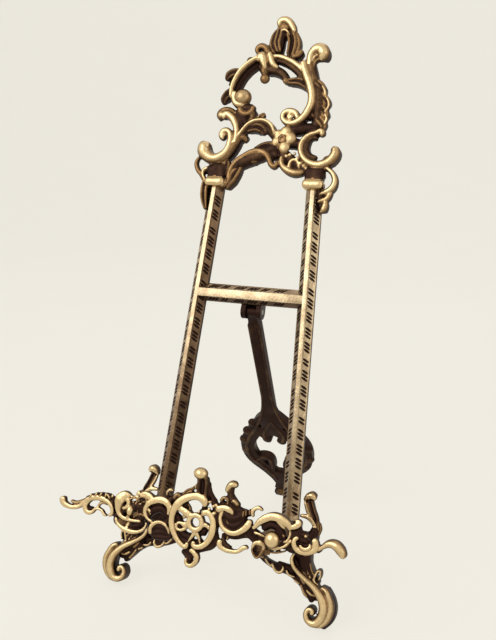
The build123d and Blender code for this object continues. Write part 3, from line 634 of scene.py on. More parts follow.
        ("crown", 3.0, [(-61.4, 347.7, 1.1), (-63, 343.6, 1.4), (-61.1, 338.2, 1.6), (-57, 333.6, 1.6),
            (-54.5, 329.5, 1.3)], 0.56),
        ("crown", 4.0, [(-52.3, 339.5, 1), (-55.3, 337.1, 1.3), (-55.3, 333.3, 1.1),
            (-53.2, 329.9, 0.9)], 0.95),
        ("twin", 3.0, [(-52.6, 328.5, 2.2), (-53, 323.1, 2.5), (-52.6, 316.3, 2.5), (-51.4, 310.7, 2),
            (-50, 305.4, 1)], 0.7),
        ("leaf", 3.0, [(-48.9, 335.5, 2.5), (-48.7, 340, 2.8), (-44.4, 343.9, 2)], 0.38),
        ("leaf", 3.2, [(-42.3, 334.8, 2.8), (-42.2, 339.7, 3), (-40.4, 343.9, 2.2)], 0.38),
        ("leaf", 3.0, [(-36.2, 335, 2.8), (-35.6, 339.9, 2.9), (-35.8, 344.9, 2.2)], 0.38),
        ("crown", 2.0, [(-51.9, 337.2, 3.1), (-44.1, 338.9, 4.7), (-36.2, 339.1, 3.4)], 0.15),
        ("leaf", 3.2, [(34.3, 333.8, 2), (34.5, 338.2, 2.2), (32.6, 341.8, 1.6)], 0.38),
        ("leaf", 3.4, [(39.4, 333.9, 2.3), (39.2, 338.2, 2.3), (37.7, 342.5, 1.7)], 0.41),
        ("leaf", 3.2, [(44.4, 334.1, 2), (43.9, 338.4, 2), (42.8, 342, 1.4)], 0.38),
    ],
    # x, y, radius, lift, height over width, brightness
    "balls": [
        (-28.8, 398.3, 7.2, 3.8, 0.96, 0.8), (-12.2, 414.1, 4.1, 3.2, 1.0, 0.5),
        (14.6, 381.6, 1.8, 5.4, 1.0, 1.0), (15.6, 435.6, 2.2, 3.2, 1.0, 0.6),
        (5.6, 411.8, 2.4, 3.6, 1.0, 0.6), (53.1, 354.4, 3.4, 4.4, 1.0, 0.9),
        (-45.7, 383.6, 3, 4.2, 1.0, 0.9), (-41.9, 366.8, 2.8, 4.2, 1.0, 0.9),
        (14.2, 349.9, 1.4, 4.6, 1.0, 1.0), (17, 351.4, 1.4, 4.6, 1.0, 1.0),
        (20.8, 351.9, 1.4, 4.6, 1.0, 1.0), (23.3, 348.4, 1.4, 4.6, 1.0, 1.0),
        (26.3, 344.4, 1.4, 4.6, 1.0, 1.0), (29.1, 342.4, 1.4, 4.6, 1.0, 1.0),
        (31.6, 340.4, 1.4, 4.6, 1.0, 1.0),
    ],
    # petals lie round the flower's middle: x, y, radius
    "petals": [(11.3, 369.8, 4.5), (5.5, 367.6, 3.9), (15.6, 364.6, 4.8), (4.4, 361.7, 3.9),
               (11.3, 357.1, 4.8)],
    "petalSwell": 1.04, "petalLift": 4.4, "petalDeep": 0.46, "petalTone": 0.84,
    # the flower's middle: x, y, radius of its eye
    "flower": (9.5, 363.3, 2.5),
    # ring round the eye: half width, steps, lift, brightness
    "eyeRing": (0.95, 8, 6.0, 0.5),
    # bead in the eye: shift from the middle, radius, lift, brightness
    "eyeBead": (0.2, -0.4, 1.3, 5.8, 0.7),
    # collars round the rail tops: half width, low, high, back, front, ease, brightness
    "collars": [(8.8, 323.8, 331.6, -4.0, 8.4, 3.5, 0.92), (7.4, 330.0, 341.0, -4.0, 6.4, 2.2, 0.12)],
    "collarInset": 0.2,
}


def makeCrest():
    parts = drawRows(crestMake["scrolls"], stout=crestMake["stout"])
    parts += drawBalls(crestMake["balls"])
    for x, y, radius in crestMake["petals"]:
        parts.append(drawBall(x, y, radius * crestMake["petalSwell"], crestMake["petalLift"],
                              deep=crestMake["petalDeep"], gain=crestMake["petalTone"], fine=True))
    x, y, reach = crestMake["flower"]
    half, steps, lift, tone = crestMake["eyeRing"]
    parts.append(drawRing(x, y, reach, half, steps, "crown", lift, gain=tone))
    shiftX, shiftY, radius, lift, tone = crestMake["eyeBead"]
    parts.append(drawBall(x + shiftX, y + shiftY, radius, lift, gain=tone))
    for side in (-1, 1):
        middle = stance["middle"] + side * (stance["railHigh"] - crestMake["collarInset"])
        for half, low, high, back, front, ease, tone in crestMake["collars"]:
            parts.append(drawBlock((middle - half, low, back), (middle + half, high, front), ease, tone))
    obj = joinCasting("crestScrollwork", parts, leaningPlane(), crestMake["grain"])
    ageAndShadeHollows(obj)
    dressIn(obj, castBrass)
    settle(obj, "frame", "crest")
    print("crest", len(obj.data.polygons), "faces")


makeCrest()

# apron along the front of the ledge: strokes carried to its own plane in the same way

apronMake = {
    "grain": 0.00052,
    "shift": (0.0, 0.0, 58.0),
    "root": 0.4,
    # the low rows at the back, lift 1.4 and under, are a dark backing put into the openings as painted shade
    "scrolls": [
        ("crown", 1.2, [(-32.1, 54.2, 1.8), (-27.1, 54.6, 2.2), (-21.1, 55.2, 1.9),
            (-18, 56.8, 1.4)], 0.06),
        ("crown", 1.2, [(-4.8, 50.9, 1.6), (-2.2, 48.8, 1.9), (-0.6, 45.9, 1.6)], 0.08),
        ("crown", 1.2, [(-34.1, 56.3, 1.6), (-29.3, 57.7, 2.3), (-24.9, 58.5, 2.3),
            (-21.4, 57.1, 1.6)], 0.06),
        ("crown", 1.2, [(-22.8, 78.8, 1.6), (-21.3, 72.1, 2.3), (-22.7, 66.3, 2.3),
            (-29.5, 66.5, 1.8)], 0.08),
        ("crown", 1.2, [(-63, 64.3, 1.9), (-62.6, 59.8, 2.2), (-59.2, 58.4, 2.2), (-53.3, 57.9, 2.4),
            (-46.5, 59.1, 2.3), (-41.2, 61.6, 2.1)], 0.08),
        ("crown", 1.2, [(-61.9, 76.3, 2.7), (-59, 72.7, 3.2), (-59.4, 67.5, 2.7)], 0.08),
        ("crown", 1.2, [(-34.8, 60.7, 1.6), (-30.9, 61.4, 2.3), (-25.3, 61.4, 2.3),
            (-21.7, 59.5, 1.6)], 0.06),
        ("crown", 1.0, [(-99.4, 65.8, 1.3), (-94.6, 66.4, 1.4), (-89.3, 67.5, 1.3), (-85.9, 65, 1.7),
            (-82.9, 65.5, 1.1)], 0.06),
        ("crown", 1.2, [(9.4, 86.7, 2.2), (13.1, 81, 3.2), (14.8, 74.5, 2.7), (13.5, 67.4, 2.4),
            (15.2, 60.9, 2.4)], 0.08),
        ("crown", 1.2, [(38.2, 74.5, 2), (37.8, 69.2, 2), (41, 66.2, 2), (44.6, 64.3, 2)], 0.08),
        ("crown", 1.2, [(21.5, 65.2, 2.1), (28.8, 65.2, 2.1), (35.2, 67.7, 2.1)], 0.08),
        ("crown", 1.2, [(19.1, 78.9, 3), (25.6, 76.9, 3.8), (31.4, 79.5, 3.4), (34.5, 81.6, 2.7)], 0.06),
        ("crown", 1.2, [(45.4, 61.9, 2.3), (46.1, 58.9, 2.1), (45.4, 56.2, 1.4)], 0.06),
        ("crown", 1.2, [(41.2, 71.4, 2), (45, 69.7, 2.3), (48.6, 65.6, 2.7), (53.2, 61.3, 2.4)], 0.08),
        ("crown", 1.2, [(66.9, 76.1, 2.1), (69.3, 72.7, 2.4), (67.8, 68.7, 2.1), (66.8, 64.8, 2.1),
            (71.5, 63.3, 1.9)], 0.08),
        ("crown", 1.2, [(72.5, 78.9, 2.1), (74, 75, 2.4), (77.8, 75.7, 2.2)], 0.08),
        ("crown", 1.2, [(84.4, 73.6, 1.1), (85.9, 69.7, 1.9), (87.2, 66.7, 1.7)], 0.08),
        ("crown", 1.2, [(73.9, 67.5, 2.4), (77.9, 66.9, 2.4), (82.1, 69, 2.4)], 0.08),
        ("crown", 1.2, [(-13.7, 59.3, 1.9), (-9.1, 55.9, 2.4), (-3.1, 54.9, 2.6), (4.8, 57.4, 2.4)], 0.06),
        ("crown", 0.9, [(-17.5, 72.5, 2.2), (-14.2, 69.9, 2.8), (-12.7, 63.7, 3), (-7.9, 59.3, 3),
            (-2.6, 59.2, 2.7)], 0.05),
        ("crown", 0.9, [(-11, 81.1, 2.2), (-10, 78.1, 2.4), (-7.2, 75.3, 2.2)], 0.05),
        ("crown", 0.9, [(5.1, 62.7, 2.4), (6.9, 66.2, 2.2)], 0.05),
        ("crown", 0.9, [(4.9, 80.6, 2.2), (2.6, 80.2, 1.6)], 0.05),
        ("flat", 3.2, [(-108.2, 68.7, 2.6), (-107, 65.8, 2.4), (-103.2, 64, 1.9), (-98.3, 63.7, 1.6),
            (-93.6, 65.1, 1.4), (-89.8, 68.7, 1.5), (-86.7, 71.4, 1.8), (-81.7, 73.3, 2), (-76.4, 73.8, 2),
            (-71.6, 72.7, 1.7), (-67.9, 70.4, 1.6), (-66.1, 67, 1.4), (-66.4, 64.1, 1.2),
            (-68.3, 62.8, 1.1)]),
        ("crown", 2.6, [(-100.8, 67.9, 1), (-97.4, 67.2, 1.3), (-93.3, 68.4, 1.4),
            (-88.7, 71.1, 1.1)], 0.75),
        ("flat", 3.0, [(-84.9, 71.8, 1.6), (-87.9, 68.6, 1.9), (-88.5, 64.9, 2), (-86, 62.3, 1.9),
            (-82.5, 62.9, 1.3), (-80.3, 65.3, 1.1), (-77.3, 66, 1), (-74.3, 65, 1), (-72.3, 62.8, 1.1),
            (-70.5, 62.3, 0.7)]),
        ("flat", 2.6, [(-78.3, 66.9, 0.7), (-77.5, 69.1, 1), (-74.9, 70.9, 1.1), (-70.7, 70.4, 1)], 0.9),
        ("crown", 1.4, [(-89.2, 72.2, 0.9), (-83, 74.9, 1.3), (-76.6, 76.4, 1.5), (-69.5, 76.6, 1.6)], 0.2),
        ("crown", 3.8, [(-85.5, 73.4, 0.8), (-84.1, 75.5, 0.8)], 0.95),
        ("crown", 3.8, [(-81.2, 75, 0.8), (-79.9, 77, 0.8)], 0.95),
        ("crown", 3.8, [(-77.4, 75.5, 0.8), (-75.9, 77.7, 0.9)], 0.95),
        ("crown", 3.8, [(-72.8, 75.8, 0.8), (-72.2, 77.9, 0.9)], 0.95),
        ("crown", 3.8, [(-69, 75.1, 0.9), (-70.9, 77.3, 0.8)], 0.95),
        ("crown", 1.4, [(-67.3, 75.9, 1.8), (-66.7, 70.4, 1.8), (-64.9, 64, 1.8)], 0.2),
        ("flat", 3.6, [(-53.6, 79.8, 1.6), (-57.5, 79, 3.5), (-60.5, 75.7, 4.4), (-61.4, 71, 2.8),
            (-60.8, 67.1, 1.8), (-57.9, 64.1, 1.6), (-53.2, 62.9, 1.4), (-47.9, 62.8, 1.2),
            (-42.7, 63.1, 0.8)]),
        ("flat", 3.8, [(-55.2, 77.2, 1.6), (-53.6, 74.5, 1.6), (-54.9, 71.3, 1.3), (-57.5, 69.9, 0.9)]),
        ("flat", 3.2, [(-62.3, 62.1, 1.1), (-61, 59.3, 1.2), (-57.8, 56.8, 1.5), (-53.5, 55.2, 1.7),
            (-48.3, 54.8, 1.6), (-43.3, 55.8, 1.2), (-39.6, 58.3, 1.1), (-38.1, 61.4, 0.8),
            (-38.1, 63.1, 0.5)]),
        ("flat", 2.8, [(-51.7, 60.9, 0.7), (-52.5, 58.5, 1), (-53.4, 56.1, 1.1)]),
        ("flat", 3.0, [(-53.6, 79.9, 0.7), (-50.7, 78.9, 0.9), (-48.1, 79.9, 1), (-46.9, 83.1, 1.5)]),
        ("flat", 3.4, [(-45.6, 81.5, 0.9), (-42.1, 82.9, 1.5), (-38.6, 81.9, 2.4), (-36.1, 79.7, 2.3),
            (-37.8, 77, 1.1)]),
        ("crown", 1.2, [(-59.4, 67.5, 2.7), (-51.8, 70.8, 3.7), (-45.2, 73, 4.3), (-41.5, 67.6, 3.2),
            (-47.2, 63.5, 2.1)], 0.15),
        ("crown", 3.0, [(-43.7, 79, 0.7), (-42.2, 80.7, 0.7), (-40.3, 79.6, 0.7), (-40.8, 77.4, 0.7),
            (-42.8, 77, 0.7)], 0.55),
        ("flat", 3.6, [(-34, 64.7, 1), (-37.7, 66.5, 1.1), (-39.8, 70.2, 1.3), (-39.5, 73.7, 1.6),
            (-37.1, 77.2, 2.1), (-33, 79.6, 2.5), (-28.1, 80.7, 2.7), (-23.7, 79.4, 2.6),
            (-21.4, 76.1, 2.1), (-21.9, 71.8, 1)]),
        ("flat", 3.0, [(-38.8, 73.5, 0.6), (-36.9, 71.6, 1), (-35.4, 69.1, 0.5)]),
        ("crown", 1.2, [(-37.6, 68.2, 2.1), (-33.2, 73, 3.2), (-27.2, 74.1, 3.1),
            (-23.2, 69.7, 2.6)], 0.06),
        ("flat", 3.2, [(-33.9, 56.5, 1.3), (-34.3, 60.1, 1.6), (-32, 63.5, 1.4), (-28.3, 65.1, 1.3),
            (-24.3, 64.5, 1.2), (-21.1, 62.1, 1.1), (-19.5, 58.7, 0.8)], 0.9),
        ("flat", 4.2, [(-4.6, 54.9, 1.4), (-5.4, 52.4, 1.6), (-9.3, 53.8, 1.8), (-14, 58.2, 1.9),
            (-17.2, 63.4, 2.2), (-18.4, 69, 2.3), (-17.7, 75, 2.5), (-14.9, 80.7, 3), (-10.5, 84.6, 2.9),
            (-5, 87.1, 2.6), (0.7, 87.5, 2.8), (4.2, 85.5, 2.9), (5.1, 82.4, 1.9)]),
        ("flat", 4.2, [(-0.1, 56.7, 1.5), (0.2, 54.4, 1.7), (3.7, 54, 1.9), (7.9, 56.2, 2),
            (11.3, 60.7, 2.2), (12.8, 66.2, 2.6), (12.7, 71.4, 2.3), (10.8, 75.7, 2.1), (7.6, 78.1, 2.1),
            (4.3, 77.1, 2.1)]),
        ("flat", 4.0, [(-4.2, 73.5, 2.3), (-8.1, 75.5, 2.6), (-12, 77, 2.3), (-15.6, 77.3, 1.1)]),
        ("flat", 3.8, [(-5.2, 68.2, 2.1), (-8.8, 67.1, 1.9), (-11.8, 67.7, 1.1), (-14.1, 66.8, 0.9),
            (-14.3, 64.3, 0.9), (-12.1, 62.8, 1), (-9.2, 63.5, 1.2), (-6.7, 65.6, 1.1)]),
        ("flat", 3.8, [(-0.2, 65.3, 2.2), (-0.6, 62.5, 1.6), (-2.4, 59.1, 1.1), (-4, 56.6, 0.6)]),
        ("flat", 3.8, [(1.3, 62.6, 1.6), (3.2, 60.1, 1.1), (4.5, 57.2, 0.7)]),
        ("flat", 3.8, [(4, 68.9, 1.9), (7.6, 69.4, 1.6), (10.5, 67, 1)]),
        ("flat", 3.6, [(1.6, 78.8, 0.5), (0.8, 76.5, 0.7), (-0.6, 74.2, 0.9)], 0.9),
        ("crown", 2.6, [(-8.3, 81.2, 0.5), (-6.3, 78.9, 0.6), (-5.3, 74.8, 0.6)], 0.6),
        ("twin", 1.8, [(2.2, 86.6, 4.1), (1.4, 91.8, 4.4), (1.2, 96.6, 4.5), (0.6, 100.4, 4.2)], 0.3),
        ("crown", 3.0, [(-3.9, 92.5, 0.6), (-4, 94.6, 0.8), (-2.5, 96, 0.5)], 0.9),
        ("crown", 3.0, [(4.4, 88.7, 0.8), (3.3, 91.2, 0.8), (3.9, 94.4, 0.7), (4.8, 96.6, 0.5)], 0.9),
        ("crown", 1.0, [(4.9, 97.6, 1.7), (5.3, 93.4, 2.2), (8.5, 88.6, 2), (11.7, 86, 1.6)], 0.15),
        ("leaf", 2.2, [(-12.5, 87, 1.5), (-10.1, 89.7, 1.5), (-6.6, 91.8, 1.3), (-4, 94.2, 0.9)], 0.6),
        ("crown", 2.6, [(-25.1, 84.2, 0.6), (-24.8, 86.9, 1.2), (-22.3, 88.8, 1.3),
            (-20.7, 88.1, 0.8)], 0.95),
        ("crown", 2.6, [(-19.2, 83.9, 1.4), (-17.4, 86.1, 1.7), (-14.9, 85.9, 1)], 0.8),
        ("crown", 1.0, [(-27.1, 80.6, 2.3), (-20.2, 82.8, 2.8), (-13.5, 86.1, 2.2),
            (-5.5, 88.5, 2.2)], 0.15),
        ("crown", 3.2, [(19.2, 94.4, 1.2), (20.2, 97.1, 2.1), (22.7, 99.7, 2.7), (25.4, 99.7, 2.2)]),
        ("crown", 1.6, [(21.9, 97.2, 2.2), (21.8, 93, 2.5), (24.1, 89.2, 2.9), (28, 85.7, 2.7)], 0.18),
        ("crown", 2.8, [(15.8, 87.4, 1.2), (17.4, 89.7, 1.2), (19.9, 89.3, 1), (20.9, 86.7, 0.6)], 0.7),
        ("crown", 3.0, [(23.6, 88.2, 1), (25.6, 88.7, 1.6), (28.3, 86.9, 1.2)], 0.85),
        ("crown", 1.0, [(15.8, 85.7, 2.2), (21.7, 84.5, 2.7), (29.8, 82.8, 2.7), (37.7, 82.1, 2.1)], 0.12),
        ("flat", 3.6, [(14.6, 81.5, 2.4), (18.8, 83.2, 2.1), (22.9, 82.5, 2.3), (25.6, 80.6, 1.1)]),
        ("flat", 3.4, [(18, 81.1, 0.9), (17, 76.2, 1.2), (18.7, 71, 1.6), (23, 68, 1.8), (28.2, 67.6, 1.8),
            (33.4, 70.3, 2.1), (37.3, 74.5, 2.5), (38.5, 77.4, 2)]),
        ("crown", 1.0, [(19.4, 75.8, 2.2), (23.3, 72.3, 3.2), (29.9, 73.5, 3.2), (33.6, 79.3, 2.7)], 0.06),
        ("crown", 2.4, [(29.3, 83.9, 0.6), (30.8, 83.1, 0.6)], 0.85),
        ("crown", 2.4, [(33, 82, 0.5), (34.2, 84.2, 0.6)], 0.85),
        ("crown", 2.4, [(36.9, 82.1, 0.5), (37.3, 84.7, 0.6)], 0.85),
        ("flat", 2.8, [(40, 80.9, 0.8), (39.5, 84.2, 1.2), (41.1, 86.4, 1.3), (43.9, 87.2, 1.3),
            (46, 86, 0.8)]),
        ("flat", 3.0, [(18.6, 60.9, 1.8), (18.7, 58, 2.1), (22.2, 55.9, 1.7), (27.4, 55.3, 1.5),
            (32.4, 56.2, 1.3), (35.4, 58.8, 1.6), (37.6, 59.7, 1.6), (39, 59.3, 0.7)]),
        ("crown", 1.2, [(19.8, 65.4, 1.1), (21.4, 60, 1.5), (26.5, 57.3, 1.1)], 0.2),
        ("crown", 2.4, [(23.9, 65, 0.6), (23.4, 62, 0.6)], 0.85),
        ("crown", 1.2, [(22.2, 64.3, 1), (28.9, 64.5, 1.4), (36.5, 66.9, 1.4), (42, 66.9, 1.4)], 0.2),
        ("flat", 3.0, [(42.1, 60.5, 1), (43.5, 63.6, 1.2), (47.3, 64.5, 1.8), (50, 63.1, 1.2),
            (49.9, 60.5, 0.8)], 0.95),
        ("crown", 2.6, [(49.9, 60.6, 0.8), (48.6, 57.6, 1), (45.8, 54.5, 0.8), (43.3, 56.5, 0.8),
            (41.9, 59.4, 0.8)], 0.65),
        ("flat", 3.2, [(-2, 50.8, 1.5), (0.9, 49.5, 1.9), (3.2, 46.7, 2), (2, 42.3, 1.7), (-1.3, 40.1, 1.5),
            (-4.2, 41.4, 1.2), (-4.7, 44, 1)], 0.95),
        ("crown", 1.4, [(-8, 48.7, 1.7), (-4.7, 46.2, 2), (-1.4, 43.7, 2.2)], 0.15),
        ("crown", 1.2, [(3.3, 50.9, 1.6), (7.7, 52.7, 1.6), (13.1, 55.8, 1.9), (15.7, 61.5, 2.2)], 0.15),
        ("flat", 3.8, [(41.3, 73.4, 1.1), (43, 75.2, 1.6), (45.3, 78.2, 2.2), (48.5, 80.8, 2.7),
            (53.4, 83.2, 2.8), (58.4, 83.2, 3), (62.2, 81.9, 2.8), (65.6, 79.9, 2.5), (67.1, 77.1, 1.2)]),
        ("flat", 4.0, [(58.6, 81.6, 1.9), (61.6, 78.3, 1.2), (63.3, 77.1, 0.7)]),
        ("flat", 3.8, [(66.6, 78.4, 1.5), (70.2, 79.7, 1.9), (72.4, 82.3, 2.3), (70.6, 83.6, 1.2)]),
        ("flat", 3.2, [(67, 76.6, 0.7), (67, 72.6, 0.9), (65.2, 69.2, 0.8), (63.1, 67.9, 0.5)]),
        ("flat", 3.2, [(68.4, 70.3, 0.5), (65.7, 66.8, 0.9), (62, 64.2, 1), (58.2, 63, 1.2),
            (54.5, 63.6, 1.4), (52, 65.5, 1.1)], 0.95),
        ("flat", 2.8, [(42.6, 70.6, 0.8), (46.5, 70.2, 0.9), (49.9, 69.3, 0.7)]),
        ("crown", 1.0, [(47.9, 74.5, 2.4), (54.6, 77.6, 2.9), (61.2, 73.1, 2.9), (62.7, 69.6, 2.4)], 0.06),
        ("crown", 2.4, [(53.3, 59.6, 0.5), (59.3, 60.3, 0.7), (65, 62.3, 0.5)], 0.5),
        ("flat", 3.6, [(72.6, 72.9, 1.3), (70.8, 70.9, 1.6), (70.9, 67.8, 1.8), (73.5, 65, 1.8),
            (77.9, 64, 1.7), (82.3, 65.1, 1.7), (85.2, 67.4, 2.1), (85.4, 70.7, 2.4), (84.2, 73.4, 2.1)]),
        ("flat", 4.4, [(75.1, 68.3, 1), (76.7, 66.8, 1.2), (79.8, 66.7, 1.3), (81.8, 68.6, 1.2),
            (81.5, 70.3, 0.6)]),
        ("crown", 1.0, [(69.9, 75.6, 2.4), (74.3, 71.7, 2.4), (79.4, 70.8, 2.4)], 0.06),
        ("crown", 3.4, [(87.8, 67.6, 1.1), (90.6, 70.4, 1.7), (94.2, 72.7, 2.6), (98.5, 72.5, 3.4),
            (101.9, 69.9, 3.5), (103.7, 67, 2.8), (103.7, 65.5, 1.4)]),
        ("crown", 1.2, [(86.8, 65.7, 1.1), (89, 67.7, 1.1)], 0.1),
        ("crown", 4.0, [(-53.1, 76.8, 0.5), (-50.5, 78.4, 0.6), (-47.2, 77.8, 0.6),
            (-47.7, 74.8, 0.5)], 0.85),
        ("crown", 4.0, [(-47.2, 77.8, 0.5), (-43.9, 80.3, 0.6), (-40.5, 79.7, 0.6),
            (-39.6, 76.6, 0.5)], 0.85),
        ("crown", 3.8, [(-50.4, 73.9, 0.5), (-46.7, 74.1, 0.6), (-43.3, 75.9, 0.5)], 0.8),
        ("crown", 3.8, [(-47.2, 71.2, 0.5), (-44.2, 72.9, 0.6), (-41.8, 72.1, 0.5)], 0.75),
        ("crown", 3.8, [(-46.5, 66.4, 0.5), (-43.5, 68.1, 0.6), (-40.2, 67.5, 0.5)], 0.7),
        ("crown", 3.4, [(-47, 74.5, 0.4), (-45.8, 69.8, 0.5), (-46.1, 65.6, 0.4)], 0.6),
        ("crown", 3.6, [(33.1, 83.4, 0.5), (33.3, 79.9, 0.6)], 0.65),
        ("crown", 3.8, [(35.2, 84.2, 0.5), (35.2, 80.7, 0.6)], 0.7),
        ("crown", 3.8, [(37.5, 85.3, 0.5), (37.8, 81.9, 0.6)], 0.7),
        ("crown", 3.0, [(21, 76.9, 0.4), (23.3, 73, 0.6), (27.4, 71, 0.4)], 0.42),
    ],
    # x, y, radius, lift, height over width, brightness
    "balls": [
        (-67.2, 77, 1.2, 3.0, 1.0, 1.0), (-51.6, 69.1, 2.6, 3.6, 1.45, 1.0),
        (-52.8, 64.6, 1.6, 3.0, 1.3, 0.8), (-50.4, 75.8, 0.9, 3.0, 1.0, 0.7),
        (-46.1, 77.5, 1.1, 3.0, 1.0, 0.7), (-48.3, 73.7, 1.1, 3.0, 1.0, 0.6),
        (-43.9, 71.8, 1.1, 3.0, 1.0, 0.7), (-44.2, 67.3, 1.2, 2.6, 1.0, 0.5),
        (-9.4, 72.3, 1.5, 3.6, 1.0, 0.9), (8.3, 85.4, 1.1, 3.4, 1.0, 1.0), (11, 82.9, 1.1, 3.6, 1.0, 1.0),
        (8.3, 80.9, 1.2, 3.6, 1.0, 1.0), (13, 84.2, 1.1, 3.4, 1.0, 1.0), (12.4, 78.5, 1.4, 3.6, 0.8, 1.0),
        (4.6, 86.1, 1, 3.4, 1.0, 0.8), (63.1, 72.1, 1.2, 3.0, 1.0, 0.6), (78.1, 74.5, 1.3, 2.8, 1.0, 0.8),
        (103.4, 67.2, 2.3, 3.2, 1.0, 1.0), (55.7, 68.6, 5.6, 4.2, 1.0, 1.0),
        (-1.1, 103.5, 5.3, 3.4, 0.8, 1.0),
    ],
    # hub of the wheel: x, y, radius, half width
    "hub": (-0.5, 69.9, 4.9, 1.8),
    "hubSteps": 10, "hubLift": 4.2,
    # lugs under the ledge arms: distance from the middle, low, high, back, front, width
    "lugs": (52.5, 58.5, 63.0, 48.0, 61.0, 10.0),
    "lugEase": 0.8, "lugTone": 0.3,
}


def makeApron():
    root = apronMake["root"]
    parts = drawRows(apronMake["scrolls"], back=0.0, root=root)
    parts += drawBalls(apronMake["balls"])
    x, y, radius, half = apronMake["hub"]
    parts.append(drawRing(x, y, radius, half, apronMake["hubSteps"], "flat", apronMake["hubLift"],
                          back=0.0, root=root))
    spread, low, high, back, front, width = apronMake["lugs"]
    out = apronMake["shift"][2]
    for side in (-1, 1):
        middle = stance["middle"] + side * spread
        parts.append(drawBlock((middle - width / 2, low, back - out), (middle + width / 2, high, front - out),
                               apronMake["lugEase"], apronMake["lugTone"]))
    place = leaningPlane() @ Matrix.Translation(apronMake["shift"])
    obj = joinCasting("apronScrollwork", parts, place, apronMake["grain"])
    ageAndShadeHollows(obj)
    dressIn(obj, castBrass)
    settle(obj, "frame", "apron")
    print("apron", len(obj.data.polygons), "faces")


makeApron()

# feet: strokes of the shaft, lace and prong, carried over in the same way, x from the middle of the stand

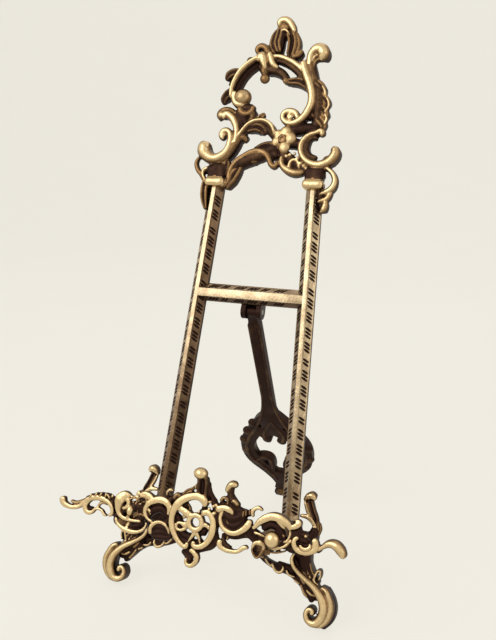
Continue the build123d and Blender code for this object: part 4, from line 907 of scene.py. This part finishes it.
footMake = {
    "grain": 0.00055,
    # rows with brightness 0.1 and under are painted shade: the foot's back parts, the lace, and its top under
    # the apron
    "scrolls": [
        ("crown", 1.6, [(55, 61, 6.8), (60.6, 55, 6.4), (66, 48, 5.4)], 0.06),
        ("crown", -3.2, [(56, 62, 5.2), (63, 60, 5), (70, 63, 4.2), (71.6, 68, 3)], 0.1),
        ("crown", 2.2, [(61, 44, 3.4), (66, 38.4, 4), (72, 32.4, 4), (77.4, 26, 3.4),
            (80, 20.6, 2.4)], 0.06),
        ("crown", 7.4, [(60.7, 50.2, 0.8), (59.4, 46.5, 1.4), (60.6, 42.4, 1.6), (64.3, 38.5, 1.7),
            (70.4, 34.4, 2), (77.2, 30.2, 2.4), (82.4, 25.4, 3.1), (86.1, 19.6, 3.6), (87, 13.9, 3.8),
            (85.4, 8.7, 3.7), (81.4, 4.9, 3.2), (77.2, 5.3, 2.6), (74.7, 8.3, 2.2), (74.7, 11.8, 1.8),
            (76.6, 13.9, 1.7), (78.8, 13.1, 2), (79, 10.9, 2.2)]),
        ("crown", 6.8, [(83.5, 30.4, 1.1), (86.9, 28.7, 2), (90, 23.5, 2.4), (91.8, 18.5, 2.6),
            (91.5, 13.1, 2.7), (89.2, 8.1, 2.7), (85.6, 4.5, 2.4), (82, 2.9, 1.6)], 0.95),
        ("crown", 2.6, [(86.5, 29, 2.4), (90.5, 22.2, 3), (92.4, 15.5, 3.1), (91, 8.1, 3),
            (86.8, 2.3, 2.4)], 0.06),
        ("crown", 3.0, [(67.4, 49, 5.2), (68.8, 42.6, 4.8), (73.4, 36.5, 4.1), (78.9, 30.8, 3.1)], 0.05),
        ("crown", 6.0, [(68.8, 49.8, 0.7), (69.1, 44.3, 0.8), (71.2, 39.8, 0.8), (74.4, 35.6, 0.7)], 0.9),
        ("crown", 5.8, [(66.3, 42.1, 0.6), (69.4, 38.3, 0.7), (73, 35.5, 0.6)], 0.8),
        ("crown", 5.8, [(73, 45.6, 0.6), (74.4, 41.5, 0.7), (76.7, 37.8, 0.6)], 0.7),
        ("crown", 5.8, [(80.5, 31.6, 0.8), (77.6, 33.3, 0.9), (78, 37.7, 1), (80.2, 41.4, 1),
            (81.6, 39.4, 0.8), (80.6, 34.8, 0.8)]),
        ("crown", 4.4, [(38.5, 42, 0.8), (41.8, 38.5, 0.9), (43.8, 37.7, 0.7)]),
        ("crown", 4.6, [(44.4, 39.1, 1), (46.5, 35.8, 1.1), (50.6, 34.3, 1.3), (52.9, 36.9, 1.2),
            (52.8, 39.2, 0.7)]),
        ("crown", 4.6, [(55.7, 36.7, 1), (57.9, 34.1, 1.1), (62.2, 33.5, 0.8)]),
        ("crown", 4.4, [(62.3, 31, 0.8), (65.9, 29.3, 0.9)], 0.9),
        ("crown", 4.4, [(67.7, 28.3, 0.8), (71, 22.9, 1.1), (73.2, 20.9, 0.8)], 0.8),
        ("crown", 4.4, [(64.6, 36.5, 0.7), (67.5, 32.6, 0.8), (70.1, 29.9, 0.7)], 0.8),
        ("crown", 4.2, [(30.6, 46.4, 0.7), (33.6, 43.2, 0.9), (37, 42.6, 0.8)], 0.7),
        ("crown", 2.0, [(29.6, 47.6, 2.4), (34, 43.4, 2.2), (39.1, 39.9, 2.1), (48.5, 36.8, 2.5),
            (57.6, 35.2, 2.6), (65.9, 30.7, 2.8), (72.5, 24.3, 2.8), (76.7, 18.6, 2.2)], 0.06),
        ("crown", 2.0, [(48.1, 40.1, 1.4), (54.2, 39, 1.7), (60.3, 38, 2.3)], 0.06),
        ("crown", 5.0, [(72.6, 26, 1.1), (75.8, 23.9, 1.4), (79.2, 23, 0.9)], 0.9),
        ("twin", -5.4, [(72, 60.8, 2.9), (71.9, 68.1, 2.6), (70.6, 75.3, 2.5), (67.8, 81.1, 2.5),
            (65.4, 87.1, 2.6)], 0.35),
        ("crown", -4.0, [(61, 88.3, 1.2), (63.5, 90.7, 2.6), (66.3, 92, 3.2), (68.8, 90.5, 2.2)]),
        ("flat", -3.2, [(59.6, 76.3, 1.2), (63.1, 76.3, 1.5), (66.6, 75.3, 1.7), (69.9, 72.2, 1.5),
            (72.1, 67.4, 1.3), (72.3, 62.2, 0.7)], 0.95),
        ("flat", -3.4, [(61.7, 86.7, 0.9), (63.6, 81.7, 1.1), (65.9, 77.7, 1.2)], 0.9),
        ("leaf", -4.6, [(74.1, 64.4, 1.4), (75, 68.8, 1.6), (74.2, 72.9, 1.1)], 0.6),
    ],
    # how far back a scroll goes: in the foot, and in the prong behind the rail's front
    "back": (-6.0, -9.0),
    "rootMost": -1.0, "rootDrop": 2,
    # block under the rail: half width, low, high, back, front, ease, brightness
    "block": (9.0, 51.0, 72.0, -6.5, 5.0, 1.6, 0.12),
    "blockInset": 2.6,
}


def makeFeet():
    parts = []
    for section, lift, points, *gain in footMake["scrolls"]:
        line = [(stance["middle"] + x, y, half) for x, y, half in points]
        parts += drawRows([(section, lift, line, *gain)], back=footMake["back"][lift < 0],
                          root=min(footMake["rootMost"], lift - footMake["rootDrop"]))
    half, low, high, back, front, ease, tone = footMake["block"]
    middle = stance["middle"] + stance["railLow"] - footMake["blockInset"]
    parts.append(drawBlock((middle - half, low, back), (middle + half, high, front), ease, tone))
    right = joinCasting("rightFootScroll", parts, leaningPlane(), footMake["grain"])
    for vert in right.data.vertices:
        vert.co.z = max(vert.co.z, 0.0)  # the sole stays on the floor
    ageAndShadeHollows(right)
    dressIn(right, castBrass)
    left = bpy.data.objects.new("leftFootScroll", right.data.copy())
    bpy.context.scene.collection.objects.link(left)
    left.data.name = "leftFootScroll"
    for vert in left.data.vertices:
        vert.co.x = 0.002 * stance["middle"] - vert.co.x  # twice the middle, in metres
    editAll(left, bpy.ops.mesh.flip_normals)
    settle(right, "frame", "right_foot")
    settle(left, "frame", "left_foot")
    print("feet", len(right.data.polygons), "faces each")


makeFeet()

# rails and cross bar: the cast bars with rows of chiselled strokes on both flanks

chisel = {"length": 6.8, "width": 2.15, "deep": 0.9, "gap": 2.75}
railMake = {
    "slant": 26, "pitch": 11.0, "drift": (0.9, 1.7), "start": 6.0, "stop": 4,
    "group": (3, 3, 3, 2, 3, 3, 3, 3, 2),
    "flank": (4.1, 1.5), "flankSlope": (0.762, 0.648),
    # brightness of the left and the right flank: painted light and shade by the side each flank faces
    "rightTones": (0.72, 0.8), "leftTones": (0.8, 0.4),
}
# the cross bar's upper flank is painted lighter and its lower flank darker, painted light and shade
crossBarMake = {
    "s": 238.5, "from": -36.0, "to": 27.0, "pitch": 11.0, "slant": 40, "group": (3, 2, 3, 3, 2, 3),
    "upper": (2.2, 7.15), "lower": (4.2, 7.15), "flankDeep": 6.0, "flankOut": 1.5,
    "tones": (0.36, 0.7), "earsFrom": (-4.2, 7.5), "earPaintedShade": 0.1,
}
# the sides are painted dark as shade, the back keeps its own tone, and the front band is painted bright as
# polished metal with a painted highlight
barMake = {
    "edge": (0.0008, 3, 25), "smoothAngle": 30,
    "sideTone": 0.14, "backTone": 0.46, "bandTone": 0.84, "bandFrom": (0.78, 0.2),
    "sideTurn": 0.8, "frontTurn": 0.3,
    "strokeTone": 0.02, "strokeFrom": 0.00012, "strokeTurn": 0.995,
}


def strokeShape():
    bpy.ops.object.select_all(action="DESELECT")
    bpy.ops.mesh.primitive_ico_sphere_add(subdivisions=2, radius=1)
    obj = bpy.context.object
    obj.scale = (chisel["length"] / 2, chisel["width"] / 2, chisel["deep"])
    bpy.ops.object.transform_apply(location=False, rotation=False, scale=True)
    return obj


def cutStrokes(obj, spots):
    shape = strokeShape()
    cutters = []
    for spot in spots:
        cutter = bpy.data.objects.new("stroke", shape.data.copy())
        cutter.data.transform(spot)
        bpy.context.scene.collection.objects.link(cutter)
        cutters.append(cutter)
    pick(*cutters)
    bpy.ops.object.join()
    applyModifier(obj, "BOOLEAN", operation="DIFFERENCE", object=cutters[0], solver="EXACT")
    bpy.data.objects.remove(cutters[0])
    bpy.data.objects.remove(shape)


def strokeSpot(centre, along, outward):
    side = outward.cross(along)
    turned = Matrix((along, side, outward)).transposed().to_4x4()
    return leaningPlane() @ Matrix.Translation(centre) @ turned


# the band in front is painted bright, polished metal with a painted highlight, and the flanks and sides get
# painted light and shade by the way they face; axis 0 is a rail, 1 the cross bar
def paintBar(obj, tones, axis):
    wear = obj.data.attributes.new("wearAndShade", "FLOAT", "FACE")
    toPlane = leaningPlane().inverted()
    turn = toPlane.to_3x3()
    bandLow, bandRange = barMake["bandFrom"]
    earBack, earDrop = crossBarMake["earsFrom"]
    for face in obj.data.polygons:
        out = (turn @ face.normal).normalized()
        tone = barMake["sideTone"] if abs(out[axis]) > barMake["sideTurn"] else barMake["backTone"]
        if out.z > barMake["frontTurn"]:
            tone = tones[out[axis] > 0]
            share = max(0.0, min(1.0, (out.z - bandLow) / bandRange))
            tone += (barMake["bandTone"] - tone) * share
        spot = toPlane @ face.center
        # the ears under the bar are painted dark, painted shade like the leg behind them
        if axis == 1 and (spot.z < earBack or spot.y < crossBarMake["s"] - earDrop):
            tone = crossBarMake["earPaintedShade"]
        wear.data[face.index].value = tone


# faces left by the strokes are inside the bar, and stay dark
def finishBar(obj, node, brass):
    wear = obj.data.attributes["wearAndShade"].data
    tree = surfaceTree(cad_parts[node].data)
    for face in obj.data.polygons:
        spot, normal, index, far = tree.find_nearest(face.center)
        if far is None or far <= barMake["strokeFrom"] or (spot - face.center).dot(normal) <= 0:
            continue
        if abs(normal.dot(face.normal)) < barMake["strokeTurn"]:
            wear[face.index].value = barMake["strokeTone"]
    pick(obj)
    bpy.ops.object.shade_smooth_by_angle(angle=math.radians(barMake["smoothAngle"]))
    dressIn(obj, brass)
    settle(obj, "frame", node)
    print(obj.name, len(obj.data.polygons), "faces")


def railRun(side):
    middle, low, top = stance["middle"], stance["railFoot"], stance["railTop"]
    lowHalf = stance["railLow"] + (stance["railHigh"] - stance["railLow"]) * low / top
    return Vector((middle + side * lowHalf, low, 0)), Vector((middle + side * stance["railHigh"], top, 0))


def makeRail(side, node, name, tones, brass):
    obj = copyNode(node, name)
    softenEdges(obj, *barMake["edge"])
    low, high = railRun(side)
    reach = (high - low).length
    along = (high - low).normalized()
    across = Vector((along.y, -along.x, 0))
    front = Vector((0, 0, 1))
    steep, shallow = railMake["flankSlope"]
    sideways, forward = railMake["flank"]
    slant = math.radians(railMake["slant"])
    group = railMake["group"]
    spots = []
    for flankSide in (-1, 1):
        inward = (across * -flankSide * shallow + front * steep).normalized()
        outward = (across * flankSide * steep + front * shallow).normalized()
        lie = (inward * math.cos(slant) + along * math.sin(slant)).normalized()
        far, count = railMake["start"], 0
        while far < reach - railMake["start"]:
            for step in range(group[(count + (1 + flankSide)) % len(group)]):
                up = far + step * chisel["gap"]
                if up < reach - railMake["stop"]:
                    mid = low + along * up + across * flankSide * sideways + front * forward
                    spots.append(strokeSpot(mid, lie, outward))
            far += railMake["pitch"] + railMake["drift"][0] * math.sin(count * railMake["drift"][1])
            count += 1
    paintBar(obj, tones, 0)
    cutStrokes(obj, spots)
    finishBar(obj, node, brass)


makeRail(1, "right_rail", "rightRailChiselled", railMake["rightTones"], brightRailBrass)
makeRail(-1, "left_rail", "leftRailChiselled", railMake["leftTones"], railBrass)


def makeCrossBar():
    obj = copyNode("cross_bar", "crossBarChiselled")
    softenEdges(obj, *barMake["edge"])
    along, front = Vector((1, 0, 0)), Vector((0, 0, 1))
    slant = math.radians(crossBarMake["slant"])
    group = crossBarMake["group"]
    spots = []
    for flankSide in (-1, 1):
        up = Vector((0, flankSide, 0))
        inner, outer = crossBarMake["upper" if flankSide > 0 else "lower"]
        run = Vector((0, outer - inner, crossBarMake["flankDeep"])).normalized()
        inward = (up * -run.y + front * run.z).normalized()
        outward = (up * run.z + front * run.y).normalized()
        lie = (inward * math.cos(slant) - along * math.sin(slant) * flankSide).normalized()
        height = crossBarMake["s"] + flankSide * (inner + outer) / 2
        x, count = crossBarMake["from"], 0
        while x < crossBarMake["to"]:
            for step in range(group[count % len(group)]):
                mid = Vector((x + step * chisel["gap"], height, crossBarMake["flankOut"]))
                spots.append(strokeSpot(mid, lie, outward))
            x += crossBarMake["pitch"]
            count += 1
    paintBar(obj, crossBarMake["tones"], 1)
    cutStrokes(obj, spots)
    finishBar(obj, "cross_bar", railBrass)


makeCrossBar()

# rear leg: the cast lyre with raised ridges along its sides, drawn for one side and mirrored

# the leg's low brightness is an unpolished casting's darker colour and painted shade, as the leg stands in
# shade behind the frame
legMake = {
    "scrolls": [
        ("crown", 3.0, [(4.4, 214, 1), (4.4, 170, 1), (4.6, 132, 1.2), (8, 114, 1.6), (16, 96, 2),
            (25, 80, 2.2), (29, 66, 2.4), (26, 53, 2.2), (17, 43, 2), (8.6, 33, 1.8), (4, 24, 1.4)]),
        ("crown", 2.8, [(23, 48, 1.8), (16.5, 54.6, 2), (10, 55, 2), (7, 48, 1.8), (7.4, 40, 1.4)]),
        ("crown", 2.8, [(0, 106, 1.4), (6, 96, 1.8), (9.6, 87, 2), (7.4, 81, 2.2)]),
        ("leaf", 2.6, [(18, 90, 1.8), (13, 86, 2.2), (9, 82, 1.6)]),
    ],
    "back": -3.4, "ridgeTone": 0.22,
    # knob at the foot: x, y, radius, lift, brightness
    "knob": (-3, 6.8, 5.4, 1.4, 0.25),
    "lobes": [(18.8, 99, 4.8), (25.6, 87.4, 5), (30.4, 75, 5.2), (30.6, 61, 5), (25.4, 49, 4.8)],
    "lobeLift": 1.2, "lobeDeep": 0.7, "lobeTone": 0.2,
    "bodyEdge": (0.0009, 2, 35), "smoothAngle": 45, "bodyTone": 0.1, "bodyBackTone": 0.3, "bodyBackTurn": 0.4,
}


def makeLeg():
    parts = []
    for section, lift, points in legMake["scrolls"]:
        for side in (-1, 1):
            line = [(side * x, y, half) for x, y, half in points]
            parts.append(drawScroll(line, section, lift, back=legMake["back"], gain=legMake["ridgeTone"]))
    x, y, radius, lift, tone = legMake["knob"]
    parts.append(drawBall(x, y, radius, lift, gain=tone, fine=True))
    for x, y, radius in legMake["lobes"]:
        for side in (-1, 1):
            parts.append(drawBall(side * x, y, radius, legMake["lobeLift"], deep=legMake["lobeDeep"],
                                  gain=legMake["lobeTone"]))
    obj = joinCasting("rearLegLyre", parts, legPlane())
    body = copyNode("rear_leg", "rearLegBody")
    softenEdges(body, *legMake["bodyEdge"])
    applyModifier(body, "TRIANGULATE")
    # faces turned to the back keep a lighter tone, and the rest is painted darker as shade
    backTurn = legMake["bodyBackTurn"]
    paintWearAndShade(body, lambda vert: legMake["bodyBackTone" if vert.normal.y > backTurn else "bodyTone"])
    pick(obj, body)
    bpy.ops.object.join()
    for vert in obj.data.vertices:
        vert.co.z = max(vert.co.z, 0.0)
    pick(obj)
    bpy.ops.object.shade_smooth_by_angle(angle=math.radians(legMake["smoothAngle"]))
    ageAndShadeHollows(obj)
    dressIn(obj, castBrass)
    settle(obj, "rear_leg", "rear_leg")
    print("rear leg", len(obj.data.polygons), "faces")


makeLeg()

# ledge arms, and the fasteners that stay as they are

armMake = {"edge": (0.0009, 3, 35), "smoothAngle": 40, "tone": 0.5}


def makeArm(node, name):
    obj = copyNode(node, name)
    softenEdges(obj, *armMake["edge"])
    paintWearAndShade(obj, lambda vert: armMake["tone"])
    pick(obj)
    bpy.ops.object.shade_smooth_by_angle(angle=math.radians(armMake["smoothAngle"]))
    dressIn(obj, castBrass)
    settle(obj, "frame", node)


makeArm("left_ledge_arm", "leftLedgeBar")
makeArm("right_ledge_arm", "rightLedgeBar")
for joint in ("crest", "foot", "apron"):
    for hand in ("left", "right"):
        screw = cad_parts[hand + "_" + joint + "_screw"]
        screw.data.materials.clear()
        screw.data.materials.append(screwBrass)
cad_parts["hinge_pin"].data.materials.clear()
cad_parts["hinge_pin"].data.materials.append(pinSteel)
for curve in sectionCurves.values():
    bpy.data.objects.remove(curve)
print("arms and fasteners done")

# stage, light and camera

stageMake = {"paper": (0.965, 0.935, 0.845, 1), "speck": 60, "speckTone": 0.985, "rough": 0.9, "lift": 0.8,
             "width": 8.0, "front": -2.5, "back": 1.3, "under": -0.0004,
             "sweep": 0.9, "sweepSteps": 12, "top": 3.0}


# the pale surround shows to the camera and in reflections, and adds nothing to the diffuse light
def paleRays(tree):
    path = tree.nodes.new("ShaderNodeLightPath")
    seen = path.outputs["Is Camera Ray"]
    for ray in ("Is Glossy Ray", "Is Transmission Ray"):
        both = tree.nodes.new("ShaderNodeMath")
        both.operation = "MAXIMUM"
        tree.links.new(seen, both.inputs[0])
        tree.links.new(path.outputs[ray], both.inputs[1])
        seen = both.outputs[0]
    return seen


def makePaper():
    material = bpy.data.materials.new("palePaper")
    material.use_nodes = True
    tree = material.node_tree
    shader = tree.nodes["Principled BSDF"]
    speck = tree.nodes.new("ShaderNodeTexNoise")
    speck.inputs["Scale"].default_value = stageMake["speck"]
    paper = tree.nodes.new("ShaderNodeMix")
    paper.data_type = "RGBA"
    paper.inputs[6].default_value = stageMake["paper"]
    paper.inputs[7].default_value = tuple(c * stageMake["speckTone"] for c in stageMake["paper"][:3]) + (1,)
    tree.links.new(speck.outputs["Fac"], paper.inputs["Factor"])
    tree.links.new(paper.outputs[2], shader.inputs["Base Color"])
    shader.inputs["Roughness"].default_value = stageMake["rough"]
    glow = tree.nodes.new("ShaderNodeEmission")
    tree.links.new(paper.outputs[2], glow.inputs["Color"])
    share = tree.nodes.new("ShaderNodeMath")
    share.operation = "MULTIPLY"
    share.inputs[1].default_value = stageMake["lift"]
    tree.links.new(paleRays(tree), share.inputs[0])
    mix = tree.nodes.new("ShaderNodeMixShader")
    tree.links.new(share.outputs[0], mix.inputs["Fac"])
    tree.links.new(shader.outputs["BSDF"], mix.inputs[1])
    tree.links.new(glow.outputs["Emission"], mix.inputs[2])
    tree.links.new(mix.outputs["Shader"], tree.nodes["Material Output"].inputs["Surface"])
    return material


# one sheet of pale paper: flat under the stand, swept up behind it
def makeStage():
    bpy.ops.object.select_all(action="DESELECT")
    bpy.ops.mesh.primitive_plane_add(size=1, location=(0, 0, 0))
    floor = bpy.context.object
    floor.name = "paleFloor"
    for vert in floor.data.vertices:
        edgeY = stageMake["front" if vert.co.y < 0 else "back"]
        vert.co = (vert.co.x * stageMake["width"], edgeY, stageMake["under"])
    pick(floor)
    bpy.ops.object.mode_set(mode="EDIT")
    bpy.ops.mesh.select_mode(type="EDGE")
    bpy.ops.mesh.select_all(action="DESELECT")
    bpy.ops.object.mode_set(mode="OBJECT")
    for edge in floor.data.edges:
        edge.select = all(floor.data.vertices[i].co.y > 0 for i in edge.vertices)
    bpy.ops.object.mode_set(mode="EDIT")
    reach, steps = stageMake["sweep"], stageMake["sweepSteps"]
    for step in range(1, steps + 1):
        before, now = math.pi / 2 * (step - 1) / steps, math.pi / 2 * step / steps
        move = (0, reach * (math.sin(now) - math.sin(before)), reach * (math.cos(before) - math.cos(now)))
        bpy.ops.mesh.extrude_region_move(TRANSFORM_OT_translate={"value": move})
    bpy.ops.mesh.extrude_region_move(TRANSFORM_OT_translate={"value": (0, 0, stageMake["top"])})
    bpy.ops.mesh.select_all(action="SELECT")
    bpy.ops.mesh.normals_make_consistent(inside=False)
    bpy.ops.object.mode_set(mode="OBJECT")
    bpy.ops.object.shade_smooth()
    floor.data.materials.append(makePaper())


makeStage()

lightMake = {
    "world": 0.2, "worldColor": (1, 0.98, 0.95, 1),
    # name, place, watts, size
    "lamps": [("keyPanel", (-0.7, -1.1, 1.15), 11.0, 1.2), ("sidePanel", (1.3, -0.5, 0.9), 3.0, 1.0),
              ("backPanel", (0.1, 1.0, 1.3), 3.0, 0.9)],
    "aim": (0, -0.02, 0.2),
}


def makeLight():
    world = bpy.data.worlds.new("studio")
    bpy.context.scene.world = world
    world.use_nodes = True
    tree = world.node_tree
    glow = tree.nodes["Background"]
    glow.inputs["Color"].default_value = lightMake["worldColor"]
    glow.inputs["Strength"].default_value = lightMake["world"]
    wall = tree.nodes.new("ShaderNodeBackground")
    wall.inputs["Color"].default_value = stageMake["paper"]
    mix = tree.nodes.new("ShaderNodeMixShader")
    tree.links.new(paleRays(tree), mix.inputs["Fac"])
    tree.links.new(glow.outputs["Background"], mix.inputs[1])
    tree.links.new(wall.outputs["Background"], mix.inputs[2])
    tree.links.new(mix.outputs["Shader"], tree.nodes["World Output"].inputs["Surface"])
    for name, spot, power, size in lightMake["lamps"]:
        bpy.ops.object.light_add(type="AREA", location=spot)
        lamp = bpy.context.object
        lamp.name = name
        lamp.data.energy = power
        lamp.data.size = size
        lamp.rotation_euler = (Vector(lightMake["aim"]) - Vector(spot)).to_track_quat("-Z", "Y").to_euler()


makeLight()

cameraMake = {"spot": (0.1957, -0.53059, 0.3570), "pitch": 14.92, "yaw": 20.26,
              "lens": 42.383, "sensor": 36.0, "clip": 0.01}
lookDown, lookLeft = math.radians(90 - cameraMake["pitch"]), math.radians(cameraMake["yaw"])
bpy.ops.object.camera_add(location=cameraMake["spot"], rotation=(lookDown, 0, lookLeft))
camera = bpy.context.object
camera.data.lens = cameraMake["lens"]
camera.data.sensor_width = cameraMake["sensor"]
camera.data.clip_start = cameraMake["clip"]
bpy.context.scene.camera = camera
bpy.context.scene.view_settings.view_transform = "Standard"
print("stage, light and camera set")
